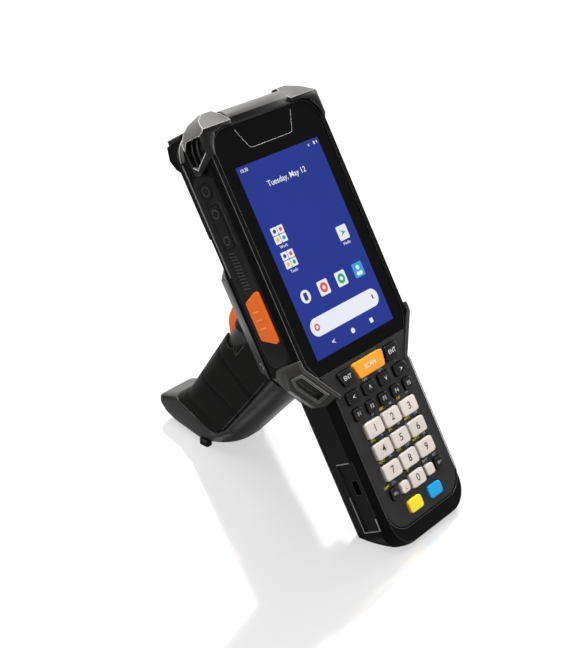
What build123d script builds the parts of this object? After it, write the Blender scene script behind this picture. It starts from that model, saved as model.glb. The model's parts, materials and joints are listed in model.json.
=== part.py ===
from build123d import *
import os
from math import atan2, cos, degrees, radians, sin, tan

# Portable barcode data terminal with a numeric keypad and a pistol grip.
# Every piece is drawn with the terminal lying on its back: X across the screen,
# Y up the screen, Z out of the glass, with the middle of the screen at 0, 0, 0.
# At the end the whole assembly is leaned into its resting pose, in which it stands
# on the end of its keypad and on the sole of its grip. Millimetres throughout.

# ---------------------------------------------------------------- stance
lean_angle = 31.3  # how far the terminal leans back from upright

# ---------------------------------------------------------------- screen and glass
screen_w = 56.2
screen_h = 93.6
display_border = 2.0
display_t = 2.2
glass_side_margin = 7.4
glass_top_margin = 18.2
glass_bottom_margin = 6.7
glass_t = 1.2
glass_corner_r = 10.0
glass_clip = 7.5
glass_gap = 0.15

# ---------------------------------------------------------------- housings
rim_h = 0.4  # the bezel stands this much above the glass
bezel_w = 2.8
bezel_top_w = 4.5
side_slope_w = 1.7
side_slope_h = 3.4
body_corner_r = 12.0
shoulder_rise = 6.5
shoulder_l = 17.0
wall = 2.2
deck_t = 6.0
parting_depth = 19.5
skirt_t = 1.5
skirt_inset = 0.4
hump_inset = 7.0
hump_t = 6.5
hump_slope = 22.0
hump_corner_r = 8.0
neck_back_t = 2.5
neck_back_edge = 2.0
neck_corner_r = 15.0
neck_margin = 3.2
neck_slope_w = 2.6
neck_slope_h = 6.0
foot_margin = 10.8
foot_wall = 6.0
fit_gap = 0.1  # between fixed pieces of one body
run_gap = 0.3  # round everything that moves

# ---------------------------------------------------------------- keypad
key_pitch_x = 13.11
key_pitch_y = 10.63
key_w = 12.0
key_h = 8.3
key_r = 1.6
key_rise = 1.5
key_edge_r = 0.5
key_travel = 0.8
key_lip = 0.35
key_lip_t = 1.0
key_gap = 0.2
plunger_r = 1.1
plate_t = 2.0
plate_rise = 0.1
plate_corner_r = 11.0
plate_margin = 6.8
plate_gap = 0.6
plate_shoulder_w = 4.5
plate_shoulder_l = 10.4
membrane_t = 0.8
keypad_ledge = 0.9
scan_row_drop = 6.2
arrow_row_drop = 9.3
function_row_drop = 8.1
digit_row_drop = 9.4
bottom_row_drop = 10.1
colour_row_drop = 9.7
plate_end_drop = 6.4
scan_top_w = 22.4
scan_bottom_w = 18.4
scan_h = 8.0
enter_inner = 12.7
enter_outer = 22.6
enter_slant = 3.0
enter_h = 7.0
arrow_pitch = 11.72
arrow_w = 9.0
arrow_h = 5.4
function_pitch = 9.4
function_w = 6.2
function_h = 5.5
zero_w = 10.6
zero_h = 7.8
small_key_w = 5.9
small_key_x = 9.8
corner_key_w = 5.6
corner_key_x = 17.2
colour_key_w = 9.6
colour_key_h = 6.2
colour_key_x = 7.7

# ---------------------------------------------------------------- electronics
board_t = 1.6
board_margin = 3.8
battery_l = 62.0
battery_w = 50.0
battery_t = 11.0
battery_gap = 0.3
door_t = 1.6
door_ledge = 1.5
door_r = 4.0

# ---------------------------------------------------------------- scan head
head_l = 49.0
head_ramp = 8.0
head_t = 19.5  # the scan head's depth behind the parting line
head_top_ramp = 8.0
head_rise = 1.5
head_side = 4.0
head_back_half_w = 25.0
head_corner_r = 5.0
nose_l = 14.0  # a pad that stands out behind each top corner of the head
nose_t = 4.0
nose_bevel = 2.0
window_w = 40.0
window_h = 9.0
window_t = 1.5
window_lip = 1.6
engine_w = 34.0
engine_l = 20.0
engine_h = 11.0

# ---------------------------------------------------------------- top cap and corner bumpers
cap_half_w = 20.3
cap_rise = 4.0
cap_land = 0.8
cap_notch = 4.8
cap_roll_r = 6.0
bumper_rise = 5.5
bumper_side = 2.4
bumper_lip = 0.8
bumper_lip_w = 1.2
bumper_reach = 19.5
bumper_depth = 13.5
bumper_cut = 9.1
bumper_tip = 3.0
bumper_block_w = 7.7
bumper_step = 5.8
bumper_drop = 2.6
bumper_facet = 7.0  # the broad slope between its front and its ridge
bumper_ridge = 6.5
bumper_back_bevel = 5.0
bumper_bar = 2.1
bumper_back_bar = 3.2
bumper_rib_w = 1.2
bumper_rib_t = 1.0
bumper_rib_pitch = 3.6

# ---------------------------------------------------------------- side panels, triggers and keys
panel_t = 1.4
panel_proud = 0.3
panel_end = 4.5  # the panel stops this far above the shoulder
panel_gap = 0.5
panel_front = 3.6
panel_margin = 1.7
panel_r = 5.0
panel_taper = 3.5
trigger_rise = 10.0
trigger_l = 26.5
trigger_front = 4.5
trigger_back = 14.6
trigger_slant = 4.0
trigger_r = 1.6
side_trigger_proud = 1.6
side_key_proud = 0.5
side_travel = 0.8
side_lip = 0.8
side_lip_t = 0.8
side_edge_r = 0.4
side_key_depth = 10.2
power_drop = 3.5
power_r = 3.6
volume_drop = 10.5
volume_l = 20.5
volume_w = 6.6

# ---------------------------------------------------------------- neck recesses
recess_drop = 32.0
recess_l = 34.0
recess_front = 4.5
recess_back = 14.5
recess_depth = 0.8
port_drop = 9.0
port_l = 7.0
port_front = 6.8
port_back = 10.4
port_depth = 2.6

# ---------------------------------------------------------------- strap ears
ear_reach = 6.2
ear_rise = 0.8
ear_end = 2.4
ear_bevel = 3.6
ear_depth = 18.0
ear_back_bevel = 3.0
ear_slot_w = 3.4
ear_slot_l = 11.5
ear_inner_wall = 1.6

# ---------------------------------------------------------------- grip cradle
cradle_top_y = 12.0
cradle_t = 16.5  # the cradle's depth behind the parting line
cradle_side = 0.3
cradle_slope = 32.0
cradle_tail_y = -66.0
cradle_tail_half_w = 27.0

# ---------------------------------------------------------------- grip
root_front_y = -5.0
root_back_y = -60.0
root_half_w = 18.5
grip_front_lean = 33.2
grip_back_lean = 40.6
grip_half_w = 17.5
grip_front_half_w = 15.5
grip_wall = 2.4
front_turn = 0.85  # how much of the front's half width its corners take up
back_turn = 0.88  # how much of the back's width its corners take up
sleeve_t = 1.8
sole_half_w = 23.0
sole_t = 3.0
toe_reach = 11.4
toe_height = 8.5
toe_half_w = 13.0
strap_low = 11.0
strap_high = 15.5
sleeve_end = 10.0
notch_h = 11.0
pad_w = 4.0
pad_out = 20.5
pad_l = 6.0
pad_t = 1.0

# ---------------------------------------------------------------- grip trigger
pull_half_w = 6.2
pull_l = 32.0
pull_over = 4.0  # how far the trigger reaches above its pivot
pull_proud = 6.4
pull_t = 6.0
pull_angle = 7.0
pull_edge_r = 1.2
pivot_drop = 12.5  # the pivot is this far below the cradle's seat
pivot_in = 9.5
pivot_r = 1.5
pivot_gap = 0.05
hub_r = 3.6
slot_drop = 4.0
slot_depth = 13.5
coil_r = 2.6
coil_wire = 0.6
coil_turns = 4
switch_half_w = 6.0
switch_t = 5.5
switch_h = 10.0
web_t = 2.4

# ---------------------------------------------------------------- screws
cradle_screw_in = 1.8  # from the inside of the housing's wall
cradle_screw_high = 4.0
cradle_screw_low = -41.0
cradle_screw_r = 1.0
cradle_screw_head_r = 1.9
cradle_screw_head_t = 1.3
cradle_screw_l = 12.0
cradle_screw_seat = 3.0
grip_screw_x = 11.0
grip_screw_high = -31.0
grip_screw_low = -49.0
grip_screw_r = 1.5
grip_screw_head_r = 2.8
grip_screw_head_t = 2.2
grip_screw_l = 14.0
boss_wall = 1.4

# ================================================================ derived sizes
lean_cos = cos(radians(lean_angle))
lean_sin = sin(radians(lean_angle))
glass_half_w = screen_w / 2 + glass_side_margin
glass_top = screen_h / 2 + glass_top_margin
glass_bottom = -screen_h / 2 - glass_bottom_margin
body_half_w = glass_half_w + bezel_w + side_slope_w
body_top = glass_top + bezel_top_w
inner_half_w = body_half_w - wall
deck_bottom = rim_h - deck_t
skirt_back = -parting_depth - skirt_t
hump_back = -parting_depth - hump_t
neck_depth = parting_depth + neck_back_t
head_depth = parting_depth + head_t
cap_depth = parting_depth - run_gap
cradle_depth = parting_depth + cradle_t
panel_back = parting_depth - panel_margin
scan_row_y = glass_bottom - scan_row_drop
arrow_row_y = scan_row_y - arrow_row_drop
function_row_y = arrow_row_y - function_row_drop
digit_row_y = function_row_y - digit_row_drop
bottom_row_y = digit_row_y - 2 * key_pitch_y - bottom_row_drop
colour_row_y = bottom_row_y - colour_row_drop
plate_bottom = colour_row_y - plate_end_drop
plate_top = glass_bottom - plate_gap
plate_half_w = 1.5 * key_pitch_x + plate_margin
plate_face = rim_h + plate_rise
plate_back = plate_face - plate_t
neck_half_w = plate_half_w + neck_margin
foot_y = plate_bottom - foot_margin
cavity_foot = plate_bottom + foot_wall
shoulder_y = glass_bottom + shoulder_rise
shoulder_end_y = shoulder_y - shoulder_l
head_top_y = body_top + head_rise
head_bottom_y = head_top_y - head_l
head_half_w = body_half_w - head_side
bumper_low = body_top - bumper_reach
panel_low = shoulder_y + panel_end
panel_high = bumper_low - panel_gap - panel_taper
trigger_low = panel_low + trigger_rise
trigger_high = trigger_low + trigger_l
power_y = panel_high - power_drop
volume_high = panel_high - volume_drop
volume_low = volume_high - volume_l
recess_high = shoulder_end_y - recess_drop
recess_low = recess_high - recess_l
port_high = recess_high - port_drop
port_low = port_high - port_l
cradle_screw_x = inner_half_w - cradle_screw_in
floor_drop = -(lean_cos * foot_y + lean_sin * rim_h)
floor_up = Vector(0, lean_cos, lean_sin)
floor_plane = Plane(origin=floor_up * -floor_drop, x_dir=(1, 0, 0), z_dir=floor_up)
pieces = {}


def keep(builder, name):
    """Label a finished piece and put it on the list of pieces to write."""
    builder.part.label = name
    pieces[name] = builder.part


def standing(front, height):
    """Y and Z of a point this far in front of the screen's middle and above the floor."""
    rise = height - floor_drop
    return (-front * lean_sin + rise * lean_cos, front * lean_cos + rise * lean_sin)


def mirrored(points):
    """A closed outline from its right half, listed from the top down."""
    return points + [(-x, y) for x, y in reversed(points)]


def outline(plane, points, radii=None):
    """A closed sketch through these points, with some corners rounded by their index."""
    ends = zip(points, points[1:] + points[:1])
    turn = sum(x0 * y1 - x1 * y0 for (x0, y0), (x1, y1) in ends)
    loop = points if turn > 0 else list(reversed(points))
    with BuildSketch(plane) as sketch:
        with BuildLine():
            Polyline(*loop, close=True)
        make_face()
        for index, radius in (radii or {}).items():
            corner = sketch.vertices().sort_by_distance(Vector(*points[index]))[0]
            fillet(corner, radius)
    return sketch.sketch


def slab(points, low, high, radii=None):
    """A solid between two heights with this outline in X and Y."""
    with BuildPart(mode=Mode.PRIVATE) as solid:
        extrude(outline(Plane.XY.offset(low), points, radii), amount=high - low)
    return solid.part


def side_slab(points, low, high, radii=None):
    """A solid between two places across X with this outline in Y and Z."""
    with BuildPart(mode=Mode.PRIVATE) as solid:
        extrude(outline(Plane.YZ.offset(low), points, radii), amount=high - low)
    return solid.part


def block(x_range, y_range, z_range):
    """A plain box between three pairs of limits."""
    (x0, x1), (y0, y1) = x_range, y_range
    return slab([(x0, y0), (x1, y0), (x1, y1), (x0, y1)], *z_range)


def posts(places, low, high, radius):
    """Upright round posts at these places."""
    with BuildPart(mode=Mode.PRIVATE) as solid:
        with BuildSketch(Plane.XY.offset(low)):
            with Locations(*places):
                Circle(radius)
        extrude(amount=high - low)
    return solid.part


def flipped(solid):
    """The same solid on the other side of the terminal."""
    return mirror(solid, about=Plane.YZ, mode=Mode.PRIVATE)


# ================================================================ main forms
def upper_outline(grow):
    """The wide upper body, narrowing to the neck at its shoulders."""
    points = mirrored([
        (body_half_w + grow, body_top + grow),
        (body_half_w + grow, shoulder_y - grow / 2),
        (neck_half_w - neck_slope_w + grow, shoulder_end_y - grow / 2),
    ])
    return points, {0: body_corner_r + grow, 5: body_corner_r + grow}


def neck_outline(grow):
    """The neck that carries the keypad, down to the foot."""
    points = mirrored([
        (neck_half_w + grow, glass_bottom),
        (neck_half_w + grow, foot_y - grow),
    ])
    return points, {1: neck_corner_r + grow, 2: neck_corner_r + grow}


def glass_outline(grow):
    """The touch glass: round at the top, clipped at its lower corners."""
    half_w = glass_half_w + grow
    points = mirrored([
        (half_w, glass_top + grow),
        (half_w, glass_bottom + glass_clip),
        (half_w - glass_clip / 2, glass_bottom - grow),
    ])
    return points, {0: glass_corner_r + grow, 5: glass_corner_r + grow}


def plate_outline(grow):
    """The keypad's plate: wide under the glass, straight down, round at the end."""
    half_w = plate_half_w + grow
    points = mirrored([
        (half_w + plate_shoulder_w, plate_top + grow),
        (half_w, plate_top - plate_shoulder_l),
        (half_w, plate_bottom - grow),
    ])
    return points, {2: plate_corner_r + grow, 3: plate_corner_r + grow}


def sloped_form(shape, low, slope_w, slope_h, grow):
    """A form with straight sides and a sloped edge round its front face."""
    points, radii = shape(grow)
    top = rim_h + grow
    with BuildPart(mode=Mode.PRIVATE) as form:
        extrude(outline(Plane.XY.offset(low), points, radii), amount=top - slope_h - low)
        extrude(outline(Plane.XY.offset(top - slope_h), points, radii), amount=slope_h, taper=degrees(atan2(slope_w, slope_h)))
    return form.part


def body_form(low, grow=0.0):
    """The front of the whole terminal, cut off by the floor at its foot."""
    with BuildPart(mode=Mode.PRIVATE) as form:
        add(sloped_form(upper_outline, low, side_slope_w, side_slope_h, grow))
        add(sloped_form(neck_outline, low, neck_slope_w, neck_slope_h, grow))
        split(bisect_by=floor_plane.offset(-grow))
    return form.part


def neck_back_form(grow=0.0):
    """The back of the neck, behind the parting line, with its bevelled edge."""
    points, radii = neck_outline(grow)
    with BuildPart(mode=Mode.PRIVATE) as form:
        extrude(outline(Plane.XY.offset(-parting_depth), points, radii), amount=parting_depth - neck_depth - grow)
        chamfer(form.faces().sort_by(Axis.Z)[0].edges(), neck_back_edge)
        split(bisect_by=floor_plane.offset(-grow))
    return form.part


def hump_form(grow=0.0):
    """The raised back of the upper body, with sloped sides."""
    half_w = body_half_w - hump_inset + grow
    points = mirrored([(half_w, body_top - wall), (half_w, shoulder_y)])
    radii = {0: hump_corner_r, 3: hump_corner_r}
    with BuildPart(mode=Mode.PRIVATE) as form:
        extrude(outline(Plane.XY.offset(-parting_depth), points, radii), amount=-hump_t - grow, taper=hump_slope)
    return form.part


def head_form(inset=0.0):
    """The scan head: a deep block with ramps at both ends and sloped sides."""
    back = inset - head_depth
    low = head_bottom_y + inset
    high = head_top_y - inset
    wide = head_half_w - inset
    side = [
        (low, -parting_depth), (low, hump_back), (low + head_ramp, back),
        (high - head_top_ramp, back), (high, back + head_top_ramp), (high, -parting_depth),
    ]
    across = mirrored([(wide, -parting_depth), (wide, hump_back), (head_back_half_w - inset, back)])
    with BuildPart(mode=Mode.PRIVATE) as form:
        add(side_slab(side, -wide, wide))
        extrude(outline(Plane.XZ.offset(-high), across), amount=high - low, mode=Mode.INTERSECT)
        corners = mirrored([(wide, high), (wide, low)])
        radii = {0: head_corner_r - inset, 3: head_corner_r - inset}
        add(slab(corners, back, -parting_depth, radii), mode=Mode.INTERSECT)
    return form.part


def nose_form():
    """The pad behind the right top corner of the scan head."""
    high = head_top_y - nose_bevel
    side = [
        (high - nose_l, -parting_depth), (high - nose_l, hump_back), (high - nose_l + nose_bevel, hump_back - nose_t / 2),
        (high - nose_l / 2, hump_back - nose_t), (high - nose_bevel / 2, hump_back - nose_t / 2), (high, -parting_depth),
    ]
    return side_slab(side, head_back_half_w + nose_bevel, head_half_w)


# ================================================================ side triggers, panels and keys
# All of them are seated in the side walls. Each moving one is a cap that passes
# through the wall, with a lip behind it that keeps it in, and has a well to sink into.
panel_face = body_half_w - panel_t
lip_face = inner_half_w - key_gap
lip_back = lip_face - side_lip_t
well_back = lip_back - side_travel - run_gap
panel_outline = [
    (panel_low, -panel_back), (panel_high, -panel_back),
    (panel_high + panel_taper, -panel_back + panel_taper), (panel_high + panel_taper, -panel_front - panel_taper),
    (panel_high, -panel_front), (panel_low, -panel_front),
]


def trigger_form(low, high, grow):
    """A side trigger's long hexagon, narrower towards the back, across X."""
    points = [
        (trigger_low - grow, -trigger_front + grow), (trigger_high + grow, -trigger_front + grow),
        (trigger_high - trigger_slant + grow, -trigger_back - grow),
        (trigger_low + trigger_slant - grow, -trigger_back - grow),
    ]
    return side_slab(points, low, high, {index: trigger_r for index in range(4)})


def volume_form(low, high, grow):
    """The volume key's rounded bar, across X."""
    with BuildPart(mode=Mode.PRIVATE) as form:
        with BuildSketch(Plane.YZ.offset(low)):
            with Locations(((volume_low + volume_high) / 2, -side_key_depth)):
                RectangleRounded(volume_high - volume_low + 2 * grow, volume_w + 2 * grow, trigger_r)
        extrude(amount=high - low)
    return form.part


def power_form(low, high, grow):
    """The power key's round button, across X."""
    with BuildPart(mode=Mode.PRIVATE) as form:
        with BuildSketch(Plane.YZ.offset(low)):
            with Locations((power_y, -side_key_depth)):
                Circle(power_r + grow)
        extrude(amount=high - low)
    return form.part


def side_room(form):
    """What a side key needs cut out: a hole through the wall and a well behind it."""
    with BuildPart(mode=Mode.PRIVATE) as room:
        add(form(inner_half_w - fit_gap, body_half_w + bumper_side, run_gap))
        add(form(well_back, inner_half_w, run_gap + side_lip))
    return room.part


def side_key(form, proud):
    """A side key: its cap, with rounded edges, and the lip that holds it in."""
    with BuildPart(mode=Mode.PRIVATE) as key:
        add(form(lip_back, body_half_w + proud, 0))
        fillet(key.faces().sort_by(Axis.X)[-1].edges(), side_edge_r)
        add(form(lip_back, lip_face, side_lip))
    return key.part


with BuildPart() as panel_blank:
    add(side_slab(panel_outline, panel_face, body_half_w + panel_proud, {0: panel_r, 5: panel_r}))
    chamfer(panel_blank.faces().sort_by(Axis.X)[-1].edges(), panel_proud * 0.7)

with BuildPart() as side_panel_right:
    add(panel_blank.part)
    add(side_room(trigger_form), mode=Mode.SUBTRACT)
keep(side_panel_right, "side_panel_right")

with BuildPart() as side_panel_left:
    add(flipped(side_panel_right.part))
    for form in (volume_form, power_form):
        add(flipped(side_room(form)), mode=Mode.SUBTRACT)
keep(side_panel_left, "side_panel_left")

with BuildPart() as side_trigger_right:
    add(side_key(trigger_form, side_trigger_proud))
keep(side_trigger_right, "side_trigger_right")

with BuildPart() as side_trigger_left:
    add(flipped(side_trigger_right.part))
keep(side_trigger_left, "side_trigger_left")

with BuildPart() as volume_key:
    add(flipped(side_key(volume_form, side_key_proud)))
keep(volume_key, "volume_key")

with BuildPart() as power_key:
    add(flipped(side_key(power_form, side_key_proud)))
keep(power_key, "power_key")

# ================================================================ front housing
# The moulded front shell frames the glass and the keypad. Its deck carries the
# circuit board, and four bosses on its side walls take the cradle's screws.
cradle_screw_places = [
    (side * cradle_screw_x, y) for side in (-1, 1) for y in (cradle_screw_low, cradle_screw_high)
]
cradle_screw_top = skirt_back - cradle_screw_seat + cradle_screw_l
boss_r = cradle_screw_r + boss_wall
display_half_w = screen_w / 2 + display_border
display_half_h = screen_h / 2 + display_border
panel_pocket = side_slab(panel_outline, panel_face, body_half_w + bumper_side, {0: panel_r, 5: panel_r})

with BuildPart() as front_housing:
    add(body_form(-parting_depth))
    # room inside, behind the deck
    upper_room = mirrored([
        (inner_half_w, body_top - wall), (inner_half_w, shoulder_y),
        (neck_half_w - wall, shoulder_end_y + wall),
    ])
    room_radii = {0: body_corner_r - wall, 5: body_corner_r - wall}
    add(slab(upper_room, -parting_depth, deck_bottom, room_radii), mode=Mode.SUBTRACT)
    add(block((wall - neck_half_w, neck_half_w - wall), (cavity_foot, glass_bottom),
              (-parting_depth, deck_bottom)), mode=Mode.SUBTRACT)
    add(posts(cradle_screw_places, -parting_depth, cradle_screw_top + boss_wall, boss_r))
    add(posts(cradle_screw_places, -parting_depth, cradle_screw_top, cradle_screw_r + pivot_gap),
        mode=Mode.SUBTRACT)
    # seat of the glass, and the window for the display behind it
    points, radii = glass_outline(glass_gap)
    add(slab(points, -glass_t, rim_h, radii), mode=Mode.SUBTRACT)
    add(block((-display_half_w - fit_gap, display_half_w + fit_gap),
              (-display_half_h - fit_gap, display_half_h + fit_gap),
              (deck_bottom, rim_h)), mode=Mode.SUBTRACT)
    # seat of the keypad's plate, and the window for the keys behind it
    points, radii = plate_outline(fit_gap)
    add(slab(points, plate_back, rim_h, radii), mode=Mode.SUBTRACT)
    points, radii = plate_outline(-keypad_ledge)
    add(slab(points, deck_bottom, rim_h, radii), mode=Mode.SUBTRACT)
    # notch for the top cap
    add(block((-cap_half_w - fit_gap, cap_half_w + fit_gap),
              (glass_top + cap_land, body_top + cap_rise), (rim_h - cap_notch, rim_h)),
        mode=Mode.SUBTRACT)
    # side walls
    for pocket in (panel_pocket, side_room(trigger_form)):
        add(pocket, mode=Mode.SUBTRACT)
        add(flipped(pocket), mode=Mode.SUBTRACT)
    for form in (volume_form, power_form):
        add(flipped(side_room(form)), mode=Mode.SUBTRACT)
    # recess with a port in each side of the neck
    recess = block((neck_half_w - recess_depth, neck_half_w + wall), (recess_low, recess_high),
                   (-recess_back, -recess_front))
    port = block((neck_half_w - recess_depth - port_depth, neck_half_w), (port_low, port_high),
                 (-port_back, -port_front))
    for pocket in (recess, port):
        add(pocket, mode=Mode.SUBTRACT)
        add(flipped(pocket), mode=Mode.SUBTRACT)
keep(front_housing, "front_housing")

# ================================================================ glass, display and board
# The glass is bonded into its seat with the display laminated to its back. The
# circuit board lies against the back of the deck and carries the keypad's membrane.
points, radii = glass_outline(0.0)
with BuildPart() as touch_glass:
    add(slab(points, -glass_t, 0, radii))
    chamfer(touch_glass.faces().sort_by(Axis.Z)[-1].edges(), glass_gap)
keep(touch_glass, "touch_glass")

with BuildPart() as display_panel:
    with BuildSketch(Plane.XY.offset(-glass_t)):
        Rectangle(2 * display_half_w, 2 * display_half_h)
    extrude(amount=-display_t)
keep(display_panel, "display_panel")

board_half_w = inner_half_w - board_margin
board_neck_half_w = neck_half_w - wall - board_margin / 2
with BuildPart() as main_board:
    points = mirrored([
        (board_half_w, body_top - wall - board_margin), (board_half_w, shoulder_y),
        (board_neck_half_w, shoulder_end_y + board_margin), (board_neck_half_w, cavity_foot + fit_gap),
    ])
    add(slab(points, deck_bottom - board_t, deck_bottom, {3: wall, 4: wall}))
keep(main_board, "main_board")

points, radii = plate_outline(-keypad_ledge - fit_gap)
with BuildPart() as keypad_membrane:
    add(slab(points, deck_bottom, deck_bottom + membrane_t, radii))
keep(keypad_membrane, "keypad_membrane")

# ================================================================ keypad
# Twenty eight hard caps stand in one plate. Each cap has a lip under the plate
# that keeps it in, and a plunger over its dome on the membrane.
lip_top = plate_back - key_gap
lip_bottom = lip_top - key_lip_t
plunger_end = deck_bottom + membrane_t + key_travel + pivot_gap


def key_outline(x, y, width, height):
    """An upright key of this size, centred here."""
    half_w, half_h = width / 2, height / 2
    return [(x + half_w, y + half_h), (x + half_w, y - half_h), (x - half_w, y - half_h), (x - half_w, y + half_h)]


def grown(points, grow):
    """A convex outline with its corners moved out by this much each way."""
    middle_x = sum(x for x, y in points) / len(points)
    middle_y = sum(y for x, y in points) / len(points)
    return [
        (x + (grow if x > middle_x else -grow), y + (grow if y > middle_y else -grow)) for x, y in points
    ]


key_places = {}
for digit in range(9):
    column, row = digit % 3 - 1, digit // 3
    key_places[f"key_{digit + 1}"] = key_outline(
        column * key_pitch_x, digit_row_y - row * key_pitch_y, key_w, key_h)
key_places["key_0"] = key_outline(0, bottom_row_y, zero_w, zero_h)
key_places["key_point"] = key_outline(-small_key_x, bottom_row_y, small_key_w, small_key_w)
key_places["key_clear"] = key_outline(small_key_x, bottom_row_y, small_key_w, small_key_w)
key_places["key_escape"] = key_outline(-corner_key_x, bottom_row_y, corner_key_w, corner_key_w)
key_places["key_shift"] = key_outline(corner_key_x, bottom_row_y, corner_key_w, corner_key_w)
key_places["key_yellow"] = key_outline(-colour_key_x, colour_row_y, colour_key_w, colour_key_h)
key_places["key_blue"] = key_outline(colour_key_x, colour_row_y, colour_key_w, colour_key_h)
for number in range(5):
    key_places[f"key_f{number + 1}"] = key_outline(
        (number - 2) * function_pitch, function_row_y, function_w, function_h)
for number, arrow in enumerate(("left", "up", "down", "right")):
    key_places[f"key_{arrow}"] = key_outline(
        (number - 1.5) * arrow_pitch, arrow_row_y, arrow_w, arrow_h)
scan_top, scan_low = scan_row_y + scan_h / 2, scan_row_y - scan_h / 2
key_places["key_scan"] = [
    (scan_top_w / 2, scan_top), (scan_bottom_w / 2, scan_low),
    (-scan_bottom_w / 2, scan_low), (-scan_top_w / 2, scan_top),
]
enter_top, enter_low = scan_row_y + enter_h / 2, scan_row_y - enter_h / 2
key_places["key_enter_right"] = [
    (enter_outer, enter_top), (enter_outer - enter_slant, enter_low),
    (enter_inner - enter_slant / 2, enter_low), (enter_inner, enter_top),
]
key_places["key_enter_left"] = [(-x, y) for x, y in reversed(key_places["key_enter_right"])]

with BuildPart() as keypad_plate:
    points, radii = plate_outline(0.0)
    add(slab(points, plate_back, plate_face, radii))
    chamfer(keypad_plate.faces().sort_by(Axis.Z)[-1].edges(), plate_rise)
    for points in key_places.values():
        hole_radii = {index: key_r for index in range(4)}
        add(slab(grown(points, run_gap), plate_back, plate_face, hole_radii), mode=Mode.SUBTRACT)
keep(keypad_plate, "keypad_plate")

for name, points in key_places.items():
    middle = (sum(x for x, y in points) / 4, sum(y for x, y in points) / 4)
    cap_radii = {index: key_r for index in range(4)}
    with BuildPart() as key:
        add(slab(points, lip_top, plate_face + key_rise, cap_radii))
        fillet(key.faces().sort_by(Axis.Z)[-1].edges(), key_edge_r)
        add(slab(grown(points, key_lip), lip_bottom, lip_top, cap_radii))
        add(posts([middle], plunger_end, lip_bottom, plunger_r))
    keep(key, name)

# ================================================================ rear housing
# The rear shell closes the back with a flat skirt. It has a hump over the
# electronics, the deep scan head above it and the battery's door in the neck.
battery_top_y = cavity_foot + battery_gap + battery_l
battery_half_w = battery_w / 2
battery_room = ((-battery_half_w - battery_gap, battery_half_w + battery_gap),
                (cavity_foot, battery_top_y + battery_gap))
door_half_w = battery_half_w + battery_gap + door_ledge
door_low = cavity_foot - door_ledge
door_high = battery_top_y + battery_gap + door_ledge
window_middle = (-parting_depth - skirt_t / 2 + head_top_ramp - head_depth) / 2
window_low = window_middle - window_h / 2
window_high = window_middle + window_h / 2


def door_form(grow, low, high):
    """The battery door's rounded rectangle between two heights."""
    with BuildPart(mode=Mode.PRIVATE) as form:
        with BuildSketch(Plane.XY.offset(low)):
            with Locations((0, (door_low + door_high) / 2)):
                RectangleRounded(2 * (door_half_w + grow), door_high - door_low + 2 * grow, door_r + grow)
        extrude(amount=high - low)
    return form.part


with BuildPart() as rear_housing:
    skirt_points, skirt_radii = upper_outline(-skirt_inset)
    add(slab(skirt_points, skirt_back, -parting_depth, skirt_radii))
    add(hump_form())
    add(neck_back_form())
    add(head_form())
    add(nose_form())
    add(flipped(nose_form()))
    # rooms for the electronics and for the scan engine
    hump_room = mirrored([
        (body_half_w - hump_inset - wall, body_top - 2 * wall),
        (body_half_w - hump_inset - wall, shoulder_y + wall),
    ])
    with BuildSketch(Plane.XY.offset(-parting_depth)):
        with BuildLine():
            Polyline(*hump_room, close=True)
        make_face()
    extrude(amount=wall - hump_t, taper=hump_slope, mode=Mode.SUBTRACT)
    add(head_form(wall), mode=Mode.SUBTRACT)
    # battery opening, with a ledge for the door
    add(block(*battery_room, (-neck_depth, -parting_depth)), mode=Mode.SUBTRACT)
    add(door_form(fit_gap, -neck_depth, door_t - neck_depth), mode=Mode.SUBTRACT)
    # window at the top of the head
    add(block((-window_w / 2 - fit_gap, window_w / 2 + fit_gap),
              (head_top_y - window_t - fit_gap, head_top_y),
              (window_low - fit_gap, window_high + fit_gap)), mode=Mode.SUBTRACT)
    add(block((window_lip - window_w / 2, window_w / 2 - window_lip),
              (head_top_y - 2 * wall, head_top_y),
              (window_low + window_lip, window_high - window_lip)), mode=Mode.SUBTRACT)
    add(posts(cradle_screw_places, skirt_back, -parting_depth, cradle_screw_r + pivot_gap),
        mode=Mode.SUBTRACT)
keep(rear_housing, "rear_housing")

with BuildPart() as battery_door:
    add(door_form(0.0, -neck_depth, door_t - neck_depth))
    chamfer(battery_door.faces().sort_by(Axis.Z)[0].edges(), fit_gap * 2)
keep(battery_door, "battery_door")

with BuildPart() as battery_pack:
    add(block((-battery_half_w, battery_half_w),
              (cavity_foot + battery_gap, battery_top_y),
              (door_t - neck_depth, door_t - neck_depth + battery_t)))
    fillet(battery_pack.edges().filter_by(Axis.Z), door_r / 2)
keep(battery_pack, "battery_pack")

with BuildPart() as scan_window:
    add(block((-window_w / 2, window_w / 2), (head_top_y - window_t, head_top_y),
              (window_low, window_high)))
keep(scan_window, "scan_window")

engine_top_y = head_top_y - 2 * wall - fit_gap
with BuildPart() as scan_engine:
    add(block((-engine_w / 2, engine_w / 2), (engine_top_y - head_top_ramp - engine_l, engine_top_y - head_top_ramp),
              (wall - head_depth, wall - head_depth + engine_h)))
keep(scan_engine, "scan_engine")

# ================================================================ top cap and corner bumpers
# The cap rolls over the top edge between the two bumpers. Each bumper wraps one
# top corner, laps onto the bezel and runs to a point low on the side wall.
cap_y = glass_top + cap_land + fit_gap
cap_top = body_top + cap_rise
with BuildPart() as top_cap:
    points = [
        (cap_y, rim_h), (cap_top, rim_h), (cap_top, -cap_depth), (body_top + fit_gap, -cap_depth),
        (body_top + fit_gap, rim_h - cap_notch + fit_gap), (cap_y, rim_h - cap_notch + fit_gap),
    ]
    add(side_slab(points, -cap_half_w, cap_half_w, {1: cap_roll_r}))
keep(top_cap, "top_cap")

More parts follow.
